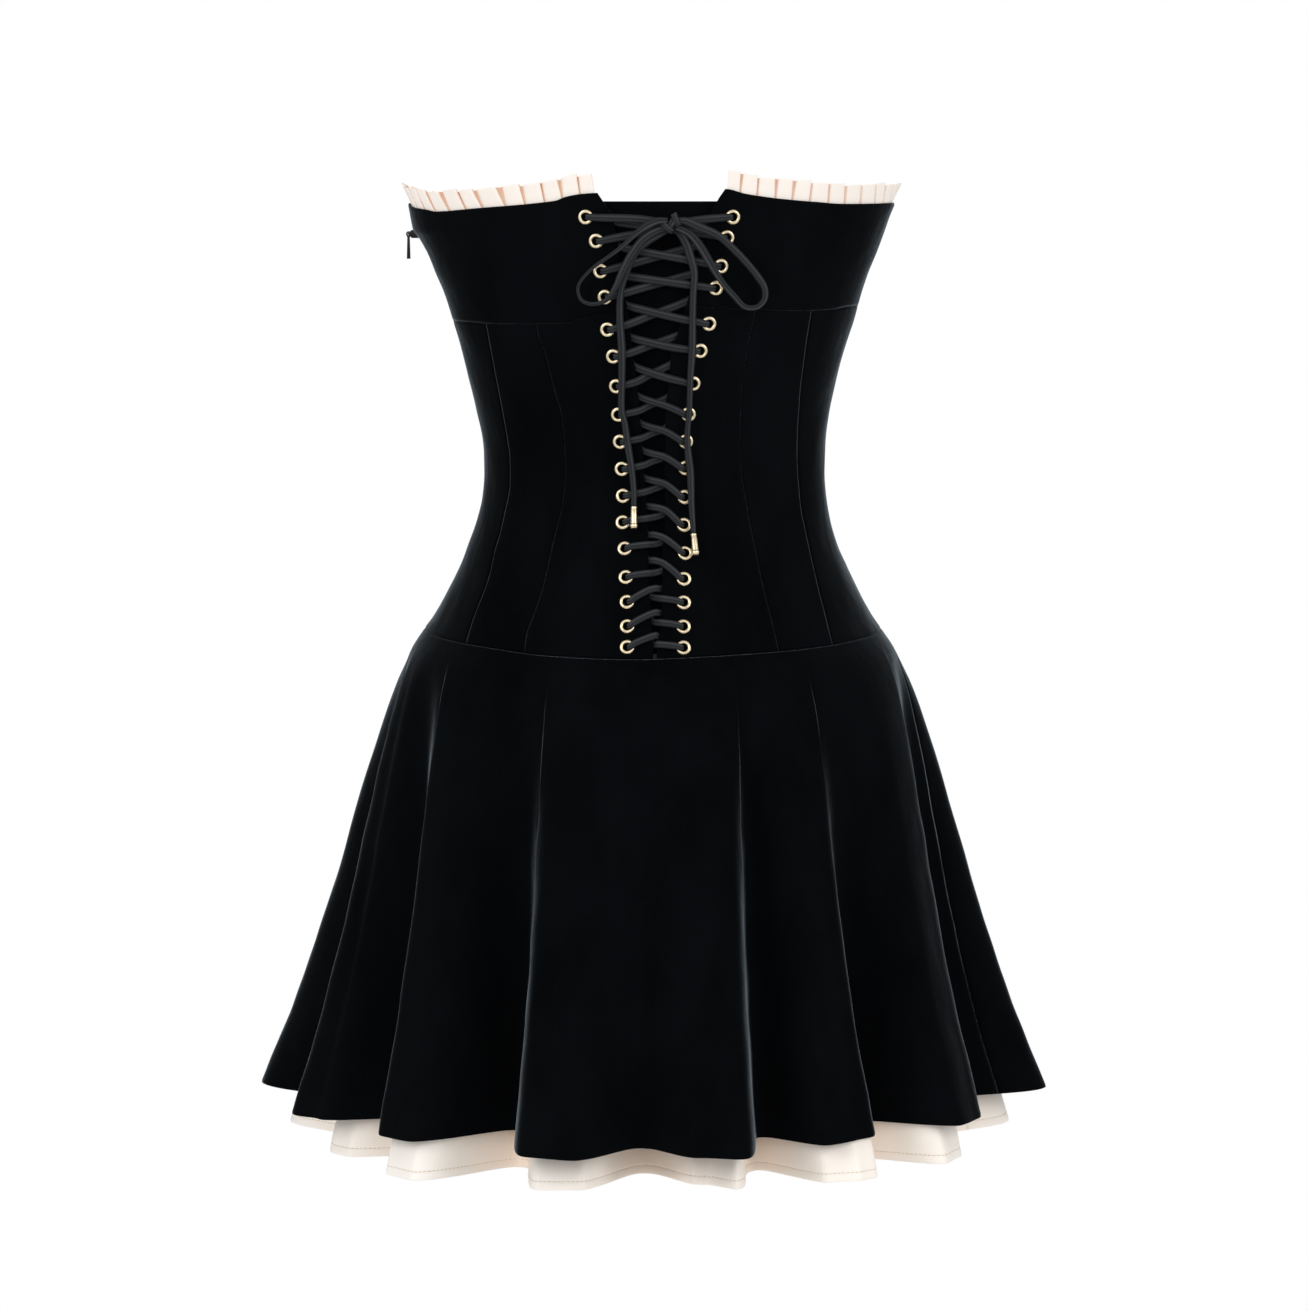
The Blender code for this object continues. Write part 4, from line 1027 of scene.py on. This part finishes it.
def under_place(turn, share):
    """The point of the satin underskirt, inside the velvet and longer."""
    last = np.full_like(turn, UNDER_LAST)
    reach = np.linalg.norm(raised(skirt_place, turn, last, NEST)[..., :2], axis=-1)
    lag = np.clip(reach - waves(SATIN_FOLDS, turn), 0.5, None)
    grown = np.clip((share - FOLDS_START) / (last - FOLDS_START), 0, None) ** FOLDS_GROW
    point = raised(skirt_place, turn, share, NEST)
    height = skirt_place(turn, share)[..., 2]
    point = point - (lag * grown)[..., None] * unit(point * [1, 1, 0])
    point[..., 2] = height - 0.5
    return point


def wrapped(turn):
    return (turn + 180) % 360 - 180


def fold_columns(first, last, each):
    """Angles that follow the folds, with the same number on each slope."""
    marks = column(VELVET_FOLDS, 0)
    marks = np.unique(np.concatenate([marks - 360, marks, marks + 360]))
    marks = marks[(marks > first + 2) & (marks < last - 2)]
    marks = np.concatenate([[first], marks, [last]])
    angles = []
    for low, high in zip(marks[:-1], marks[1:]):
        angles.extend(np.linspace(low, high, each + 1)[:-1])
    near = [angle + CREASE_HALF * k for angle, _, _ in CREASES for k in (-1.5, -1, -0.5, 0, 0.5, 1, 1.5)]
    inside = [angle for angle in near if first + 1 < angle < last - 1]
    far = [angle for angle in angles if min([abs(angle - other) for other in inside] + [9]) > 0.12]
    return np.sort(np.array(far + inside + [last]))


def drop_rows(last):
    """Shares of the drop, closer together at the seam and at the hem."""
    top = np.array([0, 0.0012, 0.0025, 0.004, 0.006, 0.009, 0.014, 0.02, 0.03])
    middle = np.linspace(0.04, last - 0.035, 64)
    hem = last - np.array([0.029, 0.0255, 0.023, 0.0205, 0.019, 0.0178, 0.0168, 0.0158, 0.0146, 0.012, 0.009])
    edge = last - np.array([0.006, 0.004, 0.0025, 0.0012, 0.0])
    return np.concatenate([top, middle, hem, edge])


# Pressed edges of the folds: angle at the hem, side of the valley, step in millimetres
CREASES = [(-64.0, -1, 1.3), (-44.5, -1, 1.5), (-22.4, -1, 1.6), (16.6, 1, 0.9), (38.6, 1, 1.6), (60.5, 1, 1.5)]
CREASE_TOP = 0.035
CREASE_HALF = 0.35
CREASE_FADE = 6.0


def creased(turn, share):
    """Distance in millimetres that the pressed fold edges add to the velvet."""
    at = wrapped(turn)
    rise = np.clip((share - CREASE_TOP) / 0.05, 0, 1) * np.clip((1.0 - share) / 0.06, 0, 1)
    out = 0.0 * turn
    for angle, side, step in CREASES:
        away = (at - angle) * side
        ridge = np.where(away < 0, np.exp(np.clip(away, -60, 0) / CREASE_FADE), 0)
        valley = np.where(away > 0, np.exp(-np.clip(away, 0, 60) / CREASE_FADE), 0)
        edge = np.clip(np.abs(away) / CREASE_HALF, 0, 1)
        out = out + step * rise * edge * (0.6 * ridge - 0.4 * valley)
    return out


def skirt(name, place, first, last, rows, wall, looks, slot, stitch_line, seed):
    angles = fold_columns(first, last, 14)
    turn, share = np.meshgrid(angles, rows)
    points = place(wrapped(turn), share)
    out = normals_of(points)
    free = np.clip(share * 3, 0, 1)
    soft = free * (0.7 * uneven(points, 60.0, seed) + 0.3 * uneven(points, 23.0, seed + 1))
    below = (rows[-1] - share) * 322.0
    if slot == "velvet":
        soft = soft + creased(turn, share)
    soft = soft - stitch_line * 0.28 * np.exp(-(((below - 5.5) / 0.55) ** 2))
    points = points + soft[..., None] * out
    # Painted shade: the satin's look turns peach deep in the fold valleys, more towards the hem. The velvet's look
    # doesn't read it.
    deep = np.clip((RIDGE_RADIUS - 8 - np.linalg.norm(points[..., :2], axis=-1)) / 80, 0, 1) * np.clip(share, 0, 1) ** 3
    obj = cloth(name + "_cloth", points, wall, looks, slot, [name], sink=(0.5, 0.5, 0.35, 0.35), reach=1.0, painted_light=0.5 * deep)
    return points


velvet_rows = drop_rows(1.0)
satin_rows = drop_rows(UNDER_LAST)
skirt("skirt_back", skirt_place, SIDE_LEFT, SIDE_RIGHT, velvet_rows, 1.3, [velvet, backing], "velvet", 0, 3.0)
skirt("skirt_front", skirt_place, SIDE_RIGHT, SIDE_LEFT + 360, velvet_rows, 1.3, [velvet, backing], "velvet", 0, 3.0)
skirt("underskirt_back", under_place, SIDE_LEFT, SIDE_RIGHT, satin_rows, 0.6, [satin, satin], "satin", 1, 5.0)
skirt("underskirt_front", under_place, SIDE_RIGHT, SIDE_LEFT + 360, satin_rows, 0.6, [satin, satin], "satin", 1, 5.0)


# Seam allowances behind the bodice's side and front seams, the drop seam and the skirt's side seams
def bodice_tape(name, edge):
    points = panel_grid(
        lambda z: edge(z) - 3.6, lambda z: edge(z) + 3.6, lambda a: drop_seam(a) + 4.0,
        lambda a: top_edge(a) - RUFFLE_TUCK - 1.0, 5, 80, -1.75,
    )
    piece_of_strip(name, points, 0.35)


def drop_tape():
    turn, share = np.meshgrid(np.linspace(-180, 180, 241), np.linspace(-1, 1, 5))
    z = drop_seam(turn) - 1.0 + 4.5 * share
    points = raised(body, turn, z, np.full_like(turn, -1.75))
    piece_of_strip("drop_seam_tape", points, 0.4)


def piece_of_strip(name, points, wall):
    obj = cloth(name, points, wall, [backing, backing], "velvet", [], sink=(0, 0, 0.1, 0.1), reach=0.5)
    return obj


def side_tape(name, turn_at):
    turn, share = np.meshgrid(turn_at + np.linspace(-1.6, 1.6, 5), np.linspace(0.002, 0.995, 80))
    points = raised(skirt_place, turn, share, np.full_like(turn, 1.75))
    piece_of_strip(name, points, 0.35)


bodice_tape("bodice_tape_side_left", side_left)
bodice_tape("bodice_tape_side_right", side_right)
bodice_tape("bodice_tape_front_left", fixed_edge(-142))
bodice_tape("bodice_tape_front_right", fixed_edge(142))
drop_tape()
side_tape("side_seam_tape_left", SIDE_LEFT)
side_tape("side_seam_tape_right", SIDE_RIGHT)


# Hem stitches of the underskirt
STITCH_LONG = 2.3
STITCH_STEP = 3.1
STITCH_HIGH = 5.5


def hem_stitches():
    turn = np.linspace(-180, 180, 7200)
    share = np.full_like(turn, UNDER_LAST - STITCH_HIGH / 322.0)
    line = under_place(turn, share)
    soft = 0.7 * uneven(line, 60.0, 5.0) + 0.3 * uneven(line, 23.0, 6.0)
    low = under_place(turn, share + 0.002)
    out = unit(np.cross(np.gradient(line, axis=0), line - low))
    if np.sum(out * line * [1, 1, 0]) < 0:
        out = -out
    line = line + (soft - 0.25)[:, None] * out
    length = np.concatenate([[0], np.cumsum(np.linalg.norm(np.diff(line, axis=0), axis=1))])
    starts = np.arange(0, length[-1] - STITCH_LONG, STITCH_STEP)
    ring = np.array([(np.cos(a), np.sin(a)) for a in 2 * np.pi * np.arange(6) / 6])
    points = []
    faces = []
    for start in starts:
        ends = [start, start + 0.35, start + STITCH_LONG - 0.35, start + STITCH_LONG]
        spots = np.stack([np.interp(ends, length, line[:, i]) for i in range(3)], axis=1)
        face = np.stack([np.interp(ends, length, out[:, i]) for i in range(3)], axis=1)
        ahead = unit(spots[3] - spots[0])
        up = np.cross(face[1], ahead)
        first = len(points)
        for spot, size, away in zip(spots, (0.12, 0.3, 0.3, 0.12), face):
            points.extend((spot + size * (ring[:, :1] * up + 0.8 * ring[:, 1:] * away)).tolist())
        faces.extend(ring_faces(4, 6, first, False))
        faces.append(tuple(first + k for k in range(5, -1, -1)))
        faces.append(tuple(first + 18 + k for k in range(6)))
    finished(piece("underskirt_hem_stitches", points, faces, [thread]), "satin")


hem_stitches()

# Zip slider and pull: the CAD outlines, with rounded edges
BAR = (-173.8, 0.0, 174.4)
SLIDER_OUTER = [(-168.5, -3.0), (-168.5, 3.0), (-174.4, 2.6), (-174.4, -2.6)]
SLIDER_INNER = [(-171.7, -1.6), (-171.7, 1.6), (-173.2, 1.6), (-173.2, -1.6)]
PLATE_Z = [(171.4, 177.2), (171.4, 177.2), (173.8, 175.0), (173.8, 175.0)]
PLATE_LEAN = 0.58
PULL_OUTER = [
    (1.85, 0), (1.5, 1.1), (0.5, 1.8), (-0.5, 1.8), (-1.5, 1.1), (-1.85, 0), (-1.5, -1.1),
    (-0.9, -2.6), (-1.3, -17.6), (1.3, -17.6), (0.9, -2.6), (1.5, -1.1),
]
PULL_HOLE = 0.95
PULL_HOLE_ANGLES = [0, 35, 72, 108, 145, 180, 215, 245, 262, 278, 295, 325]
PULL_HALF = 0.7


def rounded_plate(name, low_outer, high_outer, high_inner, low_inner, wide):
    """A closed band between two outlines, its edges rounded."""
    count = len(low_outer)
    points = np.concatenate([low_outer, high_outer, high_inner, low_inner])
    faces = []
    for k in range(count):
        n = (k + 1) % count
        for j in range(4):
            a = j * count
            b = (j + 1) % 4 * count
            faces.append((a + k, a + n, b + n, b + k))
    obj = piece(name, points, faces, [dark_metal])
    soft = obj.modifiers.new("soft edges", "BEVEL")
    soft.width = wide * MM
    soft.segments = 3
    soft.limit_method = "ANGLE"
    soft.angle_limit = np.radians(25)
    settle(obj)
    return obj


def slider_points(outline, level):
    points = []
    for (x, y), heights in zip(outline, PLATE_Z):
        z = heights[level]
        lean = PLATE_LEAN * (z - BAR[2]) if x > -170 else 0.0
        points.append((x - lean, y, z))
    return np.array(points)


def pull_points(outline, y):
    return np.column_stack([BAR[0] + outline[:, 0], np.full(len(outline), y), BAR[2] + outline[:, 1]])


slider = rounded_plate(
    "zip_slider_metal", slider_points(SLIDER_OUTER, 0), slider_points(SLIDER_OUTER, 1),
    slider_points(SLIDER_INNER, 1), slider_points(SLIDER_INNER, 0), 0.22,
)
finished(slider, "dark_metal", "zip_slider")
eye_turns = np.radians(PULL_HOLE_ANGLES)
pull_outline = np.array(PULL_OUTER, float)
pull_hole = PULL_HOLE * np.stack([np.cos(eye_turns), np.sin(eye_turns)], axis=1)
pull = rounded_plate(
    "zip_pull_metal", pull_points(pull_outline, PULL_HALF), pull_points(pull_outline, -PULL_HALF),
    pull_points(pull_hole, -PULL_HALF), pull_points(pull_hole, PULL_HALF), 0.25,
)
finished(pull, "dark_metal", "zip_pull", body_name="zip_pull")


# Studio: a pale floor far below the hem, white surroundings and soft boxes on both sides
def floor():
    turns = 2 * np.pi * np.arange(96) / 96
    points = [(0, 0, -1300)] + [(1500 * np.cos(t), 1500 * np.sin(t), -1300) for t in turns]
    faces = [(0, 1 + k, 1 + (k + 1) % 96) for k in range(96)]
    look, shader = new_look("pale_floor", (0.92, 0.92, 0.92), 0.8)
    grain = noise(look, 40.0, 2.0)
    link(look, spread(look, grain, 0.75, 0.85), shader.inputs["Roughness"])
    piece("floor", points, faces, [look])


def soft_box(name, place, size, power, aim=(0, 0, -0.1)):
    data = bpy.data.lights.new(name, "AREA")
    data.shape = "RECTANGLE"
    data.size, data.size_y = size
    data.energy = power
    lamp = bpy.data.objects.new(name, data)
    lamp.location = place
    lamp.rotation_euler = (Vector(aim) - Vector(place)).to_track_quat("-Z", "Y").to_euler()
    bpy.context.scene.collection.objects.link(lamp)


def surroundings():
    """White all round: bright behind the dress as seen, softer as light."""
    world = bpy.data.worlds.new("studio")
    bpy.context.scene.world = world
    world.use_nodes = True
    nodes = world.node_tree.nodes
    links = world.node_tree.links
    nodes["Background"].inputs["Color"].default_value = (1, 1, 1, 1)
    nodes["Background"].inputs["Strength"].default_value = 0.62
    seen = nodes.new("ShaderNodeBackground")
    seen.inputs["Color"].default_value = (1, 1, 1, 1)
    seen.inputs["Strength"].default_value = 1.0
    path = nodes.new("ShaderNodeLightPath")
    mixed = nodes.new("ShaderNodeMixShader")
    links.new(path.outputs["Is Camera Ray"], mixed.inputs["Fac"])
    links.new(nodes["Background"].outputs["Background"], mixed.inputs[1])
    links.new(seen.outputs["Background"], mixed.inputs[2])
    links.new(mixed.outputs["Shader"], nodes["World Output"].inputs["Surface"])


floor()
surroundings()
soft_box("key_left", (-2.2, -2.2, 1.3), (1.2, 1.8), 34.0)
soft_box("key_right", (2.4, -1.9, 1.1), (1.2, 1.8), 30.0)
soft_box("fill", (0.0, -3.4, 0.9), (1.6, 1.2), 12.0)
soft_box("behind", (0.6, 3.2, 1.2), (2.0, 1.6), 22.0)
bpy.context.scene.view_settings.view_transform = "Standard"
